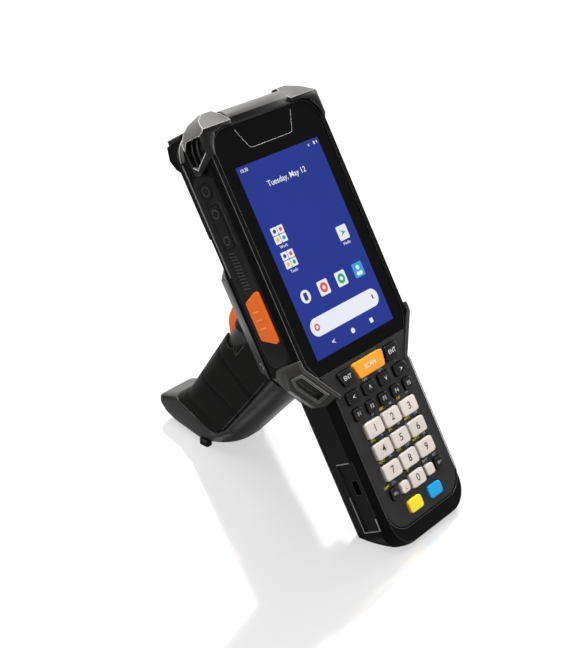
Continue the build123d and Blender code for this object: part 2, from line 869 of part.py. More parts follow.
bumper_in = cap_half_w + 2 * fit_gap
bumper_out = body_half_w + bumper_side
bumper_top = body_top + bumper_rise
bumper_face = rim_h + fit_gap + bumper_lip
bumper_middle = -(bumper_ridge + bumper_tip / 2)
window_edge = glass_top + bumper_rib_t
with BuildPart() as bumper_right:
    block_out = bumper_in + bumper_block_w
    front_view = [
        (bumper_in, glass_top), (bumper_in, bumper_top - bumper_tip), (bumper_in + bumper_tip / 2, bumper_top),
        (block_out, bumper_top), (block_out + bumper_step, bumper_top - bumper_drop),
        (bumper_out - bumper_step, bumper_top - 2 * bumper_drop), (bumper_out, body_top - bumper_facet),
        (bumper_out, bumper_low), (glass_half_w - bumper_tip, bumper_low), (glass_half_w - bumper_tip, glass_top),
    ]
    add(slab(front_view, -bumper_depth, bumper_face))
    side_view = [
        (glass_top - bumper_cut, bumper_face), (bumper_low, bumper_middle + bumper_tip / 2),
        (bumper_low, bumper_middle - bumper_tip / 2), (bumper_low + bumper_facet, -bumper_depth),
        (bumper_top - bumper_back_bevel, -bumper_depth), (bumper_top, bumper_middle - bumper_tip / 2),
        (bumper_top, -bumper_ridge), (bumper_top - bumper_facet, bumper_face),
    ]
    add(side_slab(side_view, 0, bumper_out), mode=Mode.INTERSECT)
    top_view = [
        (0, bumper_face), (bumper_out - bumper_facet / 2, bumper_face), (bumper_out, -bumper_ridge + bumper_lip),
        (bumper_out, bumper_tip - bumper_depth), (bumper_out - bumper_tip, -bumper_depth), (0, -bumper_depth),
    ]
    extrude(outline(Plane.XZ.offset(-bumper_top), top_view), amount=2 * bumper_reach, mode=Mode.INTERSECT)
    # opening in the side, crossed by two ribs that hug the housing
    side_window = [
        (window_edge, bumper_face - bumper_bar), (glass_top - bumper_cut + bumper_bar, bumper_face - bumper_bar),
        (bumper_low + bumper_bar, bumper_middle + bumper_rib_t), (bumper_low + 2 * bumper_bar, bumper_middle - bumper_tip / 2),
        (bumper_low + bumper_facet + bumper_bar, bumper_back_bar - bumper_depth),
        (window_edge, bumper_back_bar - bumper_depth),
    ]
    rib_points, rib_radii = upper_outline(bumper_rib_w)
    with BuildPart(mode=Mode.PRIVATE) as opening:
        add(side_slab(side_window, 0, bumper_out))
        for turn in (1, 2):
            rib_z = bumper_rib_t - turn * bumper_rib_pitch
            add(slab(rib_points, rib_z - 2 * bumper_rib_t, rib_z - bumper_rib_t, rib_radii), mode=Mode.SUBTRACT)
    add(opening.part, mode=Mode.SUBTRACT)
    add(body_form(-neck_depth, fit_gap), mode=Mode.SUBTRACT)
    points, radii = glass_outline(bumper_lip_w)
    add(slab(points, rim_h, bumper_face, radii), mode=Mode.SUBTRACT)
keep(bumper_right, "bumper_right")

with BuildPart() as bumper_left:
    add(flipped(bumper_right.part))
keep(bumper_left, "bumper_left")

# ================================================================ strap ears
# A slotted loop stands out from each shoulder, between the bezel and the cradle.
shoulder_dx = body_half_w - (neck_half_w - neck_slope_w)
shoulder_run = (shoulder_dx ** 2 + shoulder_l ** 2) ** 0.5
along = (-shoulder_dx / shoulder_run, -shoulder_l / shoulder_run)
outward = (shoulder_l / shoulder_run, -shoulder_dx / shoulder_run)


def ear_spot(distance, reach):
    """A point this far down the shoulder and this far out from it."""
    return (body_half_w + along[0] * distance + outward[0] * reach,
            shoulder_y + along[1] * distance + outward[1] * reach)


slot_start = (shoulder_run - ear_slot_l) / 2
slot_end = ear_slot_w / 2
slot_x, slot_y = ear_spot(0, ear_inner_wall)
ear_plane = Plane(origin=(slot_x, slot_y, 0), x_dir=(*along, 0), z_dir=(*outward, 0))
with BuildPart() as ear_right:
    points = [
        ear_spot(-ear_end, -ear_inner_wall), ear_spot(-ear_end, 0), ear_spot(0, ear_bevel),
        ear_spot(ear_bevel, ear_reach), ear_spot(shoulder_run - 1, ear_reach),
        ear_spot(shoulder_run + ear_end, ear_bevel), ear_spot(shoulder_run + ear_end + 1, -ear_inner_wall),
    ]
    add(slab(points, -ear_depth, rim_h + ear_rise))
    outer_edges = ear_right.faces().sort_by(Axis.Z)[0].edges().sort_by_distance(Vector(0, 0, -ear_depth))[-4:]
    chamfer(outer_edges, ear_back_bevel)
    add(body_form(-neck_depth, fit_gap), mode=Mode.SUBTRACT)
    points, radii = glass_outline(fit_gap)
    add(slab(points, -glass_t, rim_h + ear_rise, radii), mode=Mode.SUBTRACT)
    points, radii = plate_outline(fit_gap)
    add(slab(points, -glass_t, rim_h + ear_rise, radii), mode=Mode.SUBTRACT)
    with BuildSketch(ear_plane):
        with BuildLine():
            Polyline(*[
                (slot_start - slot_end, ear_depth / 2 - slot_end), (slot_start + slot_end, -rim_h),
                (slot_start + ear_slot_l, rim_h), (slot_start + ear_slot_l + slot_end, ear_depth / 2 - slot_end),
                (slot_start + ear_slot_l, ear_depth / 2 + slot_end / 2), (slot_start + slot_end, ear_depth / 2),
            ], close=True)
        make_face()
    extrude(amount=ear_reach, mode=Mode.SUBTRACT)
keep(ear_right, "ear_right")

with BuildPart() as ear_left:
    add(flipped(ear_right.part))
keep(ear_left, "ear_left")

# ================================================================ grip cradle
# A boat-shaped saddle that hugs the hump and carries the grip. Four screws hold
# it through the skirt, and the grip's own screws go in from its inner face.
grip_screw_places = [
    (side * grip_screw_x, y) for side in (-1, 1) for y in (grip_screw_low, grip_screw_high)
]
cradle_seat = skirt_back - cradle_screw_seat
grip_seat = hump_back - fit_gap - grip_screw_head_t
with BuildPart() as grip_cradle:
    points = mirrored([
        (body_half_w + cradle_side, cradle_top_y), (body_half_w + cradle_side, shoulder_y),
        (cradle_tail_half_w, cradle_tail_y),
    ])
    cradle_radii = {0: hump_corner_r, 5: hump_corner_r, 2: hump_corner_r, 3: hump_corner_r}
    extrude(outline(Plane.XY.offset(skirt_back), points, cradle_radii), amount=-cradle_depth - skirt_back, taper=cradle_slope)
    add(hump_form(fit_gap), mode=Mode.SUBTRACT)
    add(neck_back_form(fit_gap), mode=Mode.SUBTRACT)
    add(posts(cradle_screw_places, -cradle_depth, cradle_seat, cradle_screw_head_r + fit_gap),
        mode=Mode.SUBTRACT)
    add(posts(cradle_screw_places, cradle_seat, skirt_back, cradle_screw_r + pivot_gap),
        mode=Mode.SUBTRACT)
    add(posts(grip_screw_places, grip_seat, -parting_depth, grip_screw_head_r + fit_gap),
        mode=Mode.SUBTRACT)
    add(posts(grip_screw_places, -cradle_depth, grip_seat, grip_screw_r + pivot_gap),
        mode=Mode.SUBTRACT)
keep(grip_cradle, "grip_cradle")

with BuildPart() as cradle_screws:
    add(posts(cradle_screw_places, cradle_seat - cradle_screw_head_t, cradle_seat, cradle_screw_head_r))
    add(posts(cradle_screw_places, cradle_seat, cradle_screw_top, cradle_screw_r))
keep(cradle_screws, "cradle_screws")

grip_screw_end = grip_seat - grip_screw_l
with BuildPart() as grip_screws:
    add(posts(grip_screw_places, grip_seat, grip_seat + grip_screw_head_t, grip_screw_head_r))
    add(posts(grip_screw_places, grip_screw_end, grip_seat, grip_screw_r))
keep(grip_screws, "grip_screws")

# ================================================================ grip
# The grip leans out from the cradle and spreads into a sole with a raised toe.
# Its hard body shows as a strap down the back and round the sole, and a rubber
# sleeve covers its front and sides.
root_y, root_z = root_front_y, -cradle_depth
root_front = root_z * lean_cos - root_front_y * lean_sin
root_front_height = root_front_y * lean_cos + root_z * lean_sin + floor_drop
root_back = root_z * lean_cos - root_back_y * lean_sin
root_back_height = root_back_y * lean_cos + root_z * lean_sin + floor_drop
pivot_height = root_front_height - pivot_drop
pull_high = pivot_height + pull_over
pull_low = pull_high - pull_l
notch_low = pull_low + 1
notch_high = notch_low + notch_h


def front_at(height):
    """How far forward the trigger side of the grip is at a height. Less is further back."""
    return root_front - tan(radians(grip_front_lean)) * (root_front_height - height)


def back_at(height):
    """How far forward the palm side of the grip is at a height."""
    return root_back - tan(radians(grip_back_lean)) * (root_back_height - height)


def grip_sections(inset, low):
    """The grip's stations: height, front, back, half widths and how round the front is."""
    tall = toe_height + pad_t
    lip, round_front = 0.3, front_turn
    if inset:
        sole = [(low, front_at(low) - toe_reach / 2, back_at(low), toe_half_w, sole_half_w, lip)]
    else:
        rise = low + sole_t
        sole = [
            (low, front_at(0) + 2 * sole_t, back_at(0) - sole_t, toe_half_w, sole_half_w - sole_t, lip),
            (rise, front_at(rise) - toe_reach / 3, back_at(rise), toe_half_w, sole_half_w, lip),
        ]
    stations = sole + [
        (tall - 1.5, front_at(tall) - toe_reach, back_at(tall - 1.5), toe_half_w, sole_half_w, lip),
        (tall + 2, front_at(tall) - toe_reach, back_at(tall + 2), toe_half_w, sole_half_w - 0.5, lip),
        (tall + 6, front_at(tall + 6) - toe_reach / 3, back_at(tall + 6), toe_half_w, sole_half_w - 2, 0.6),
        (tall + 12, front_at(tall + 12), back_at(tall + 12), grip_front_half_w - 1, grip_half_w + 2, round_front),
        (tall + 25, front_at(tall + 25), back_at(tall + 25), grip_front_half_w, grip_half_w + 0.5, round_front),
        (tall + 38, front_at(tall + 38), back_at(tall + 38), grip_front_half_w, grip_half_w + 0.5, round_front),
    ]
    return [
        (height, front + inset, back - inset, front_w - inset, back_w - inset, turn)
        for height, front, back, front_w, back_w, turn in stations
    ]


def grip_form(inset, low):
    """The grip's outer form, or the same moved inwards, from near the sole to the cradle."""
    sections = []
    with BuildPart(mode=Mode.PRIVATE) as form:
        for height, front, back, front_w, back_w, turn in grip_sections(inset, low):
            points = mirrored([(front_w, -front), (back_w, -back)])
            back_r = back_turn * back_w * tan(atan2(back - front, back_w - front_w) / 2)
            radii = {0: front_w * turn, 1: back_r, 2: back_r, 3: front_w * turn}
            sections.append(outline(floor_plane.offset(height), points, radii))
        half_w = root_half_w - inset
        front_half_w = grip_front_half_w - inset
        points = mirrored([(front_half_w, root_front_y - inset), (half_w, root_back_y + inset)])
        back_r = back_turn * half_w * tan(atan2(root_front_y - root_back_y - 2 * inset, half_w - front_half_w) / 2)
        radii = {0: front_half_w * front_turn, 1: back_r, 2: back_r, 3: front_half_w * front_turn}
        sections.append(outline(Plane.XY.offset(-cradle_depth), points, radii))
        loft(sections, ruled=True)
    return form.part


grip_outer = grip_form(0.0, pad_t)
grip_core = grip_form(sleeve_t, pad_t + sole_t)
grip_hollow = grip_form(sleeve_t + grip_wall, pad_t + sole_t + grip_wall)

strap_slope = (strap_high - strap_low) / (root_back_height - sleeve_end)


def seam_at(height):
    """Where the sleeve meets the strap at a height."""
    return back_at(height) - strap_low - strap_slope * (height - sleeve_end)


slot_low = pull_low - slot_drop
slot_half_w = pull_half_w + run_gap
far_front = front_at(0) - 2 * toe_reach
high_up = root_front_height + 2 * toe_reach
sleeve_side = [
    standing(seam_at(high_up), high_up), standing(seam_at(sleeve_end + 3), sleeve_end + 3),
    standing(seam_at(sleeve_end) - 3, sleeve_end), standing(front_at(sleeve_end), sleeve_end + toe_reach / 2),
    standing(far_front, sleeve_end + 2 * toe_reach), standing(far_front, high_up),
]
slot_side = [
    standing(far_front, slot_low), standing(front_at(slot_low) + slot_depth, slot_low),
    standing(front_at(high_up) + slot_depth, high_up), standing(far_front, high_up),
]
notch_side = [
    standing(front_at(notch_high) - toe_reach, notch_high + 2), standing(front_at(notch_high) + 2 * toe_reach, notch_high),
    standing(front_at(notch_low) + toe_reach, notch_low), standing(front_at(notch_low) - 2, notch_low + 4),
]
trigger_slot = side_slab(slot_side, -slot_half_w, slot_half_w)

pivot_front = front_at(pivot_height) + pivot_in
pivot_y, pivot_z = standing(pivot_front, pivot_height)
pin_half_l = grip_front_half_w - sleeve_t - pivot_r
switch_height = pull_low + switch_h / 2 + 1
switch_back = front_at(switch_height) + slot_depth + switch_t
coil_start = pull_half_w + run_gap + coil_wire
coil_pitch = coil_wire * 1.4
coil_end = coil_start + coil_turns * coil_pitch + coil_wire / 2


def cross_rod(radius, low, high):
    """A round rod along X on the trigger's pivot."""
    with BuildPart(mode=Mode.PRIVATE) as rod:
        with BuildSketch(Plane.YZ.offset(low)):
            with Locations((pivot_y, pivot_z)):
                Circle(radius)
        extrude(amount=high - low)
    return rod.part


with BuildPart() as grip_sleeve:
    add(grip_outer)
    add(grip_core, mode=Mode.SUBTRACT)
    add(side_slab(sleeve_side, -2 * sole_half_w, 2 * sole_half_w), mode=Mode.INTERSECT)
    add(trigger_slot, mode=Mode.SUBTRACT)
    add(side_slab(notch_side, -2 * sole_half_w, 2 * sole_half_w), mode=Mode.SUBTRACT)
keep(grip_sleeve, "grip_sleeve")

with BuildPart() as sleeve_room:
    add(grip_outer)
    add(grip_core, mode=Mode.SUBTRACT)
    add(side_slab(sleeve_side, -2 * sole_half_w, 2 * sole_half_w), mode=Mode.INTERSECT)

with BuildPart() as grip_body:
    add(grip_outer)
    add(grip_hollow, mode=Mode.SUBTRACT)
    # a web across the inside that carries the trigger's switch
    web = [
        standing(switch_back, switch_height - switch_h), standing(switch_back + web_t, switch_height - switch_h),
        standing(switch_back + web_t, switch_height + switch_h), standing(switch_back, switch_height + switch_h),
    ]
    web_half_w = grip_half_w - sleeve_t - grip_wall / 2
    add(side_slab(web, -web_half_w, web_half_w))
    # bosses for the grip's screws
    add(posts(grip_screw_places, grip_screw_end - boss_wall, -cradle_depth, grip_screw_r + 2 * boss_wall))
    add(posts(grip_screw_places, grip_screw_end, -cradle_depth, grip_screw_r + pivot_gap),
        mode=Mode.SUBTRACT)
    add(sleeve_room.part, mode=Mode.SUBTRACT)
    add(trigger_slot, mode=Mode.SUBTRACT)
    add(cross_rod(pivot_r + pivot_gap, -pin_half_l, pin_half_l), mode=Mode.SUBTRACT)
    add(cross_rod(coil_r + coil_wire / 2 + run_gap, 0, coil_end + run_gap), mode=Mode.SUBTRACT)
keep(grip_body, "grip_body")

pad_front = back_at(0) - 4 * sole_t - pad_l / 6
with BuildPart() as foot_pads:
    with BuildSketch(floor_plane):
        with Locations((pad_out - pad_w / 2, -pad_front), (pad_w / 2 - pad_out, -pad_front)):
            RectangleRounded(pad_w, pad_l, pad_t)
    extrude(amount=pad_t)
keep(foot_pads, "foot_pads")

# ================================================================ grip trigger
# The trigger hangs from a cross pin near the cradle. A torsion coil round the
# pin brings it back, and its back presses a small switch on the web.


def finger(share, out):
    """A point this share of the trigger's length up it and this far out of the grip."""
    height = pull_low + share * pull_l
    return standing(front_at(height) - out, height)


with BuildPart() as grip_trigger:
    finger_side = [
        finger(0, 1 - pull_t), finger(0.09, -1.8), finger(0.28, pull_proud / 2), finger(0.41, pull_proud / 1.2),
        finger(0.55, pull_proud), finger(0.72, pull_proud / 1.2), finger(0.89, 1.5),
        standing(pivot_front - 2, pivot_height + hub_r), standing(pivot_front + hub_r, pivot_height),
        standing(pivot_front - 2, pivot_height - hub_r), finger(0.66, -3), finger(0.47, -2),
        finger(0.25, 1 - pull_t), finger(0.05, -pull_t - 2.5),
    ]
    add(side_slab(finger_side, -pull_half_w, pull_half_w))
    add(cross_rod(hub_r, -pull_half_w, pull_half_w))
    add(cross_rod(pivot_r + pivot_gap, -pull_half_w, pull_half_w), mode=Mode.SUBTRACT)
keep(grip_trigger, "grip_trigger")

with BuildPart() as trigger_pin:
    add(cross_rod(pivot_r, -pin_half_l + fit_gap, pin_half_l - fit_gap))
keep(trigger_pin, "trigger_pin")

with BuildPart() as trigger_spring:
    with BuildLine() as coil_line:
        Helix(pitch=coil_pitch, height=coil_turns * coil_pitch, radius=coil_r,
              center=(coil_start, pivot_y, pivot_z), direction=(1, 0, 0))
    with BuildSketch(coil_line.line ^ 0):
        Circle(coil_wire / 2)
    sweep(path=coil_line.line)
keep(trigger_spring, "trigger_spring")

with BuildPart() as trigger_switch:
    body = [
        standing(switch_back - switch_t, switch_height - switch_h / 2), standing(switch_back, switch_height - switch_h / 2),
        standing(switch_back, switch_height + switch_h / 2), standing(switch_back - switch_t, switch_height + switch_h / 2),
    ]
    add(side_slab(body, -switch_half_w, switch_half_w))
keep(trigger_switch, "trigger_switch")

# ================================================================ resting pose
# Lean the assembly back, stand it on the floor and centre it on its origin.
leaned = Location((0, 0, floor_drop), (90 - lean_angle, 0, 0))
boxes = [piece.moved(leaned).bounding_box() for piece in pieces.values()]
middle_y = (min(box.min.Y for box in boxes) + max(box.max.Y for box in boxes)) / 2
stand = Location((0, -middle_y, 0)) * leaned

os.makedirs("parts", exist_ok=True)
for name, piece in pieces.items():
    placed = piece.moved(stand)
    placed.label = name
    export_step(placed, f"parts/{name}.step")
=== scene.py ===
import json
from math import cos, radians, sin

import bmesh
import bpy
from mathutils import Matrix, Vector
from mathutils.bvhtree import BVHTree

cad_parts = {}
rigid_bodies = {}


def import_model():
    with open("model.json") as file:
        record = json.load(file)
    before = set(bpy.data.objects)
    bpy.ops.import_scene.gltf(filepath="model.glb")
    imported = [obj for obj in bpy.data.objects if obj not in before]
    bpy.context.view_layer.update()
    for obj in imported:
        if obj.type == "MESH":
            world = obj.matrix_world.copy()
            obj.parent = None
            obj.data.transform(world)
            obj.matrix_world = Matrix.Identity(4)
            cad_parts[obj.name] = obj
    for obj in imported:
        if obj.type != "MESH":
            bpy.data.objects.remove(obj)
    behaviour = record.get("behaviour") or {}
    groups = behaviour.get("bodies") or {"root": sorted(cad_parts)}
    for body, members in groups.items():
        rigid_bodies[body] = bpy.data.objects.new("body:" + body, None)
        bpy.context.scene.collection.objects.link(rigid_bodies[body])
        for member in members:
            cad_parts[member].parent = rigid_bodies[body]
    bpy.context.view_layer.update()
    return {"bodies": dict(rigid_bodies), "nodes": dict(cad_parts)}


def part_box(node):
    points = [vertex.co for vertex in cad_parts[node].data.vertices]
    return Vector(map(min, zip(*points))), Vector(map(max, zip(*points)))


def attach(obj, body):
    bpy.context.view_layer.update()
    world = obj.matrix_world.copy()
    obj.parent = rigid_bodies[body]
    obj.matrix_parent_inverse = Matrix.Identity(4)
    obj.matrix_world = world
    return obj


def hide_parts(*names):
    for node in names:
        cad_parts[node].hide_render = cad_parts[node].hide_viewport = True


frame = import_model()
bpy.ops.object.select_all(action="DESELECT")

# ---------------------------------------------------------------- stance
# The terminal leans back on the end of its keypad and on its grip. Its pieces are made
# lying on the bench, X across the glass, Y up it and Z out of it, in millimetres from
# the middle of the screen, and are then leaned and stood in their place.
LEAN = radians(31.3)
GLASS_REACH = 65.0  # from the middle of the screen to the top edge of the glass
GLASS_T = 1.2
glass_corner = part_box("touch_glass")[1]
stand_y = glass_corner[1] - (GLASS_REACH * sin(LEAN) + GLASS_T * cos(LEAN)) / 1000
stand_z = glass_corner[2] - GLASS_REACH * cos(LEAN) / 1000
LEANED = (
    Matrix.Translation((0, stand_y, stand_z))
    @ Matrix.Rotation(radians(90) - LEAN, 4, "X")
    @ Matrix.Scale(0.001, 4)
)
LAID = LEANED.inverted()
UP_BENCH = (LEANED.to_3x3() @ Vector((0, 1000, 0))).normalized()


def bench_box(node):
    """The lowest and highest corner of a CAD node, as it lies on the bench."""
    points = [LAID @ corner.co for corner in frame["nodes"][node].data.vertices]
    return (
        Vector([min(point[axis] for point in points) for axis in range(3)]),
        Vector([max(point[axis] for point in points) for axis in range(3)]),
    )


# ---------------------------------------------------------------- camera and studio
# A long lens from the left, above the table. Soft lamps stand overhead, at both sides,
# low in front and far behind, in a dim room with a bright horizon.
LENS_MM = 73.05
SENSOR_MM = 36
CAMERA_PLACE = (-0.42622, -0.36591, 0.37148)
CAMERA_TILT = 62.485
CAMERA_TURN = -49.008
lens = bpy.data.cameras.new("camera")
lens.lens = LENS_MM
lens.sensor_width = SENSOR_MM
lens.clip_end = 20
camera = bpy.data.objects.new("camera", lens)
bpy.context.collection.objects.link(camera)
camera.location = CAMERA_PLACE
camera.rotation_euler = (radians(CAMERA_TILT), 0, radians(CAMERA_TURN))
bpy.context.scene.camera = camera
bpy.context.scene.view_settings.view_transform = "Standard"

LAMP_AIM = Vector((0.0, 0.0, 0.08))
lamps = [  # name, place in metres, width in metres, watts
    ("lamp_over", (0.05, 0.30, 0.95), 0.70, 17.0),
    ("lamp_left", (-0.80, 0.35, 0.50), 0.35, 2.6),
    ("lamp_front", (0.05, -0.95, 0.26), 0.40, 3.5),
    ("lamp_back", (1.05, 0.92, 0.78), 1.90, 10.0),
    ("lamp_right", (0.95, 0.02, 0.26), 0.70, 8.0),
]
for name, place, size, power in lamps:
    light = bpy.data.lights.new(name, "AREA")
    light.shape, light.size, light.energy = "DISK", size, power
    lamp = bpy.data.objects.new(name, light)
    lamp.location = place
    lamp.rotation_euler = (LAMP_AIM - Vector(place)).to_track_quat("-Z", "Y").to_euler()
    bpy.context.collection.objects.link(lamp)


def spread(tree, start, end, low, high):
    """A shader node that turns start to end into low to high."""
    made = tree.nodes.new("ShaderNodeMapRange")
    for socket, value in zip(("From Min", "From Max", "To Min", "To Max"), (start, end, low, high)):
        made.inputs[socket].default_value = value
    return made


ROOM_TINT = (1, 0.985, 0.96, 1)
HORIZON_LIGHT = 0.9
CEILING_LIGHT = 0.15
world = bpy.data.worlds.new("studio")
world.use_nodes = True
bpy.context.scene.world = world
room = world.node_tree
room.nodes.clear()
seen = room.nodes.new("ShaderNodeLightPath")
shown = room.nodes.new("ShaderNodeBackground")
shown.inputs["Strength"].default_value = 1.0
shown.inputs["Color"].default_value = (1, 1, 1, 1)
lit = room.nodes.new("ShaderNodeBackground")
lit.inputs["Color"].default_value = ROOM_TINT
way = room.nodes.new("ShaderNodeTexCoord")
height = room.nodes.new("ShaderNodeSeparateXYZ")
haze = spread(room, 0.02, 0.22, HORIZON_LIGHT, CEILING_LIGHT)
choose = room.nodes.new("ShaderNodeMixShader")
out = room.nodes.new("ShaderNodeOutputWorld")
room.links.new(way.outputs["Generated"], height.inputs[0])
room.links.new(height.outputs["Z"], haze.inputs["Value"])
room.links.new(haze.outputs["Result"], lit.inputs["Strength"])
room.links.new(seen.outputs["Is Camera Ray"], choose.inputs["Fac"])
room.links.new(lit.outputs[0], choose.inputs[1])
room.links.new(shown.outputs[0], choose.inputs[2])
room.links.new(choose.outputs[0], out.inputs["Surface"])

# ---------------------------------------------------------------- table
# A wide pale table with a polished top that mirrors the terminal faintly. It shows
# white to the camera and gleams a little in the terminal's glossy sides.
TABLE_SIZE = 6
TABLE_GREY = (0.16, 0.16, 0.16, 1)
TABLE_ROUGH = 0.1
TABLE_IOR = 3.0
TABLE_SHOWN = 0.60
TABLE_GLEAM = 0.18
bpy.ops.mesh.primitive_plane_add(size=TABLE_SIZE, location=(0, 0, 0))
table = bpy.context.active_object
table.name = "table_top"
white = bpy.data.materials.new("pale_table")
white.use_nodes = True
polish = white.node_tree
surface = polish.nodes["Principled BSDF"]
surface.inputs["Base Color"].default_value = TABLE_GREY
surface.inputs["Roughness"].default_value = TABLE_ROUGH
surface.inputs["IOR"].default_value = TABLE_IOR
surface.inputs["Emission Color"].default_value = (1, 1, 1, 1)
path = polish.nodes.new("ShaderNodeLightPath")
glow = polish.nodes.new("ShaderNodeMath")
glow.operation = "MULTIPLY"
glow.inputs[1].default_value = TABLE_SHOWN
gleam = polish.nodes.new("ShaderNodeMath")
gleam.operation = "MULTIPLY_ADD"
gleam.inputs[1].default_value = TABLE_GLEAM
polish.links.new(path.outputs["Is Camera Ray"], glow.inputs[0])
polish.links.new(path.outputs["Is Glossy Ray"], gleam.inputs[0])
polish.links.new(glow.outputs[0], gleam.inputs[2])
polish.links.new(gleam.outputs[0], surface.inputs["Emission Strength"])
table.data.materials.append(white)
table.select_set(False)

# ---------------------------------------------------------------- front housing
# The moulded front shell: matte black polycarbonate with a fine spark-eroded grain.
# Its edges are rounded and painted paler: partly wear where hands and holsters touch it, partly
# painted highlight.
CLOUD_SCALE = 60
GRAIN_SCALE = 2400
GRAIN_DEPTH = 0.00003
EDGE_ROUND = 0.0005
SHEEN_SWING = 0.08


def noise(tree, place, scale, detail):
    """A noise pattern that sits on the piece itself."""
    made = tree.nodes.new("ShaderNodeTexNoise")
    made.inputs["Scale"].default_value = scale
    made.inputs["Detail"].default_value = detail
    tree.links.new(place.outputs["Object"], made.inputs["Vector"])
    return made


def moulded(name, colour, rough=0.5, edge_wear_and_highlight=0.25, edge_lift_for_wear_and_highlight=0.06, fleck=0.2, gloss=0.3):
    """A moulded plastic or rubber: fine grain, uneven gloss, and paler edges, partly wear and
    partly painted highlight.
    """
    made = bpy.data.materials.new(name)
    made.use_nodes = True
    tree = made.node_tree
    nodes, links = tree.nodes, tree.links
    skin = nodes["Principled BSDF"]
    skin.inputs["Specular IOR Level"].default_value = gloss
    place = nodes.new("ShaderNodeTexCoord")
    clouds = noise(tree, place, CLOUD_SCALE, 5)
    fine = noise(tree, place, GRAIN_SCALE, 3)
    tint = spread(tree, 0.3, 0.7, 1 - fleck, 1 + fleck)
    links.new(clouds.outputs["Fac"], tint.inputs["Value"])
    body = nodes.new("ShaderNodeMix")
    body.data_type = "RGBA"
    body.blend_type = "MULTIPLY"
    body.inputs["Factor"].default_value = 1
    body.inputs["A"].default_value = (*colour, 1)
    links.new(tint.outputs["Result"], body.inputs["B"])
    bend = nodes.new("ShaderNodeBevel")
    bend.samples = 4
    bend.inputs["Radius"].default_value = EDGE_ROUND
    flat = nodes.new("ShaderNodeNewGeometry")
    turn = nodes.new("ShaderNodeVectorMath")
    turn.operation = "DOT_PRODUCT"
    links.new(bend.outputs["Normal"], turn.inputs[0])
    links.new(flat.outputs["Normal"], turn.inputs[1])
    # Every edge is painted paler: partly wear, partly a painted highlight where the edges would
    # catch the lamps.
    edge = spread(tree, 0.99, 0.8, 0, edge_wear_and_highlight)
    links.new(turn.outputs["Value"], edge.inputs["Value"])
    edge_wear_and_highlight_mix = nodes.new("ShaderNodeMix")
    edge_wear_and_highlight_mix.data_type = "RGBA"
    pale = [min(1, channel * 1.5 + edge_lift_for_wear_and_highlight) for channel in colour]
    edge_wear_and_highlight_mix.inputs["B"].default_value = (*pale, 1)
    links.new(edge.outputs["Result"], edge_wear_and_highlight_mix.inputs["Factor"])
    links.new(body.outputs["Result"], edge_wear_and_highlight_mix.inputs["A"])
    links.new(edge_wear_and_highlight_mix.outputs["Result"], skin.inputs["Base Color"])
    sheen = spread(tree, 0, 1, rough - SHEEN_SWING, rough + SHEEN_SWING)
    links.new(clouds.outputs["Fac"], sheen.inputs["Value"])
    links.new(sheen.outputs["Result"], skin.inputs["Roughness"])
    relief = nodes.new("ShaderNodeBump")
    relief.inputs["Strength"].default_value = 0.6
    relief.inputs["Distance"].default_value = GRAIN_DEPTH
    links.new(fine.outputs["Fac"], relief.inputs["Height"])
    links.new(bend.outputs["Normal"], relief.inputs["Normal"])
    links.new(relief.outputs["Normal"], skin.inputs["Normal"])
    return made


def coat(node, finish):
    """Gives a CAD node its finish."""
    piece = frame["nodes"][node]
    piece.data.materials.clear()
    piece.data.materials.append(finish)


black_shell = moulded(
    "black_shell", (0.0026, 0.0025, 0.0025), 0.36, edge_wear_and_highlight=0.9, edge_lift_for_wear_and_highlight=0.11, gloss=0.07)
coat("front_housing", black_shell)

# ---------------------------------------------------------------- touch glass
# A clear sheet, printed black behind all but the picture, bonded in the bezel. A thin
# silver line is printed round the maker's place, which stays bare, and a thin grey
# line along each long edge paints the highlight of the bezel's edge.
CLOUD_SCALE_SMOOTH = 35
ROUND_SMOOTH = radians(60)


def lacquered(name, colour, rough, light=0.0, depth=0.15):
    """A smooth printed or polished layer, with a faint unevenness in its tone."""
    made = bpy.data.materials.new(name)
    made.use_nodes = True
    tree = made.node_tree
    skin = tree.nodes["Principled BSDF"]
    skin.inputs["Specular IOR Level"].default_value = 0.35
    clouds = noise(tree, tree.nodes.new("ShaderNodeTexCoord"), CLOUD_SCALE_SMOOTH, 4)
    blend = tree.nodes.new("ShaderNodeMix")
    blend.data_type = "RGBA"
    blend.inputs["A"].default_value = (*[channel * (1 - depth) for channel in colour], 1)
    blend.inputs["B"].default_value = (*[min(1, channel * (1 + depth)) for channel in colour], 1)
    tree.links.new(clouds.outputs["Fac"], blend.inputs["Factor"])
    target = "Emission Color" if light else "Base Color"
    tree.links.new(blend.outputs["Result"], skin.inputs[target])
    if light:
        skin.inputs["Base Color"].default_value = (0.004, 0.004, 0.004, 1)
        skin.inputs["Emission Strength"].default_value = light
    wipe = spread(tree, 0, 1, rough * 0.7, rough * 1.3)
    tree.links.new(clouds.outputs["Fac"], wipe.inputs["Value"])
    tree.links.new(wipe.outputs["Result"], skin.inputs["Roughness"])
    return made


def take_up(piece):
    """Makes this the one selected piece."""
    bpy.ops.object.select_all(action="DESELECT")
    piece.select_set(True)
    bpy.context.view_layer.objects.active = piece


def stand(piece, name, finish, body="terminal"):
    """Leans a piece from the bench into its place and names what it rides on."""
    piece.name = name
    piece.data.name = name
    piece.data.transform(LEANED)
    if not piece.data.materials:
        piece.data.materials.append(finish)
    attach(piece, body)
    piece.select_set(False)
    return piece


def bead(name, routes, radius, finish, body="terminal"):
    """Round beads along routes of bench points, each open or closed."""
    curve = bpy.data.curves.new(name, "CURVE")
    curve.dimensions = "3D"
    curve.bevel_depth = radius
    curve.bevel_resolution = 2
    curve.use_fill_caps = True
    for points, closed in routes:
        run = curve.splines.new("POLY")
        run.points.add(len(points) - 1)
        for spot, point in zip(run.points, points):
            spot.co = (*point, 1)
        run.use_cyclic_u = closed
    piece = bpy.data.objects.new(name, curve)
    bpy.context.collection.objects.link(piece)
    take_up(piece)
    bpy.ops.object.convert(target="MESH")
    piece = bpy.context.active_object
    bpy.ops.object.shade_smooth_by_angle(angle=ROUND_SMOOTH)
    return stand(piece, name, finish, body)


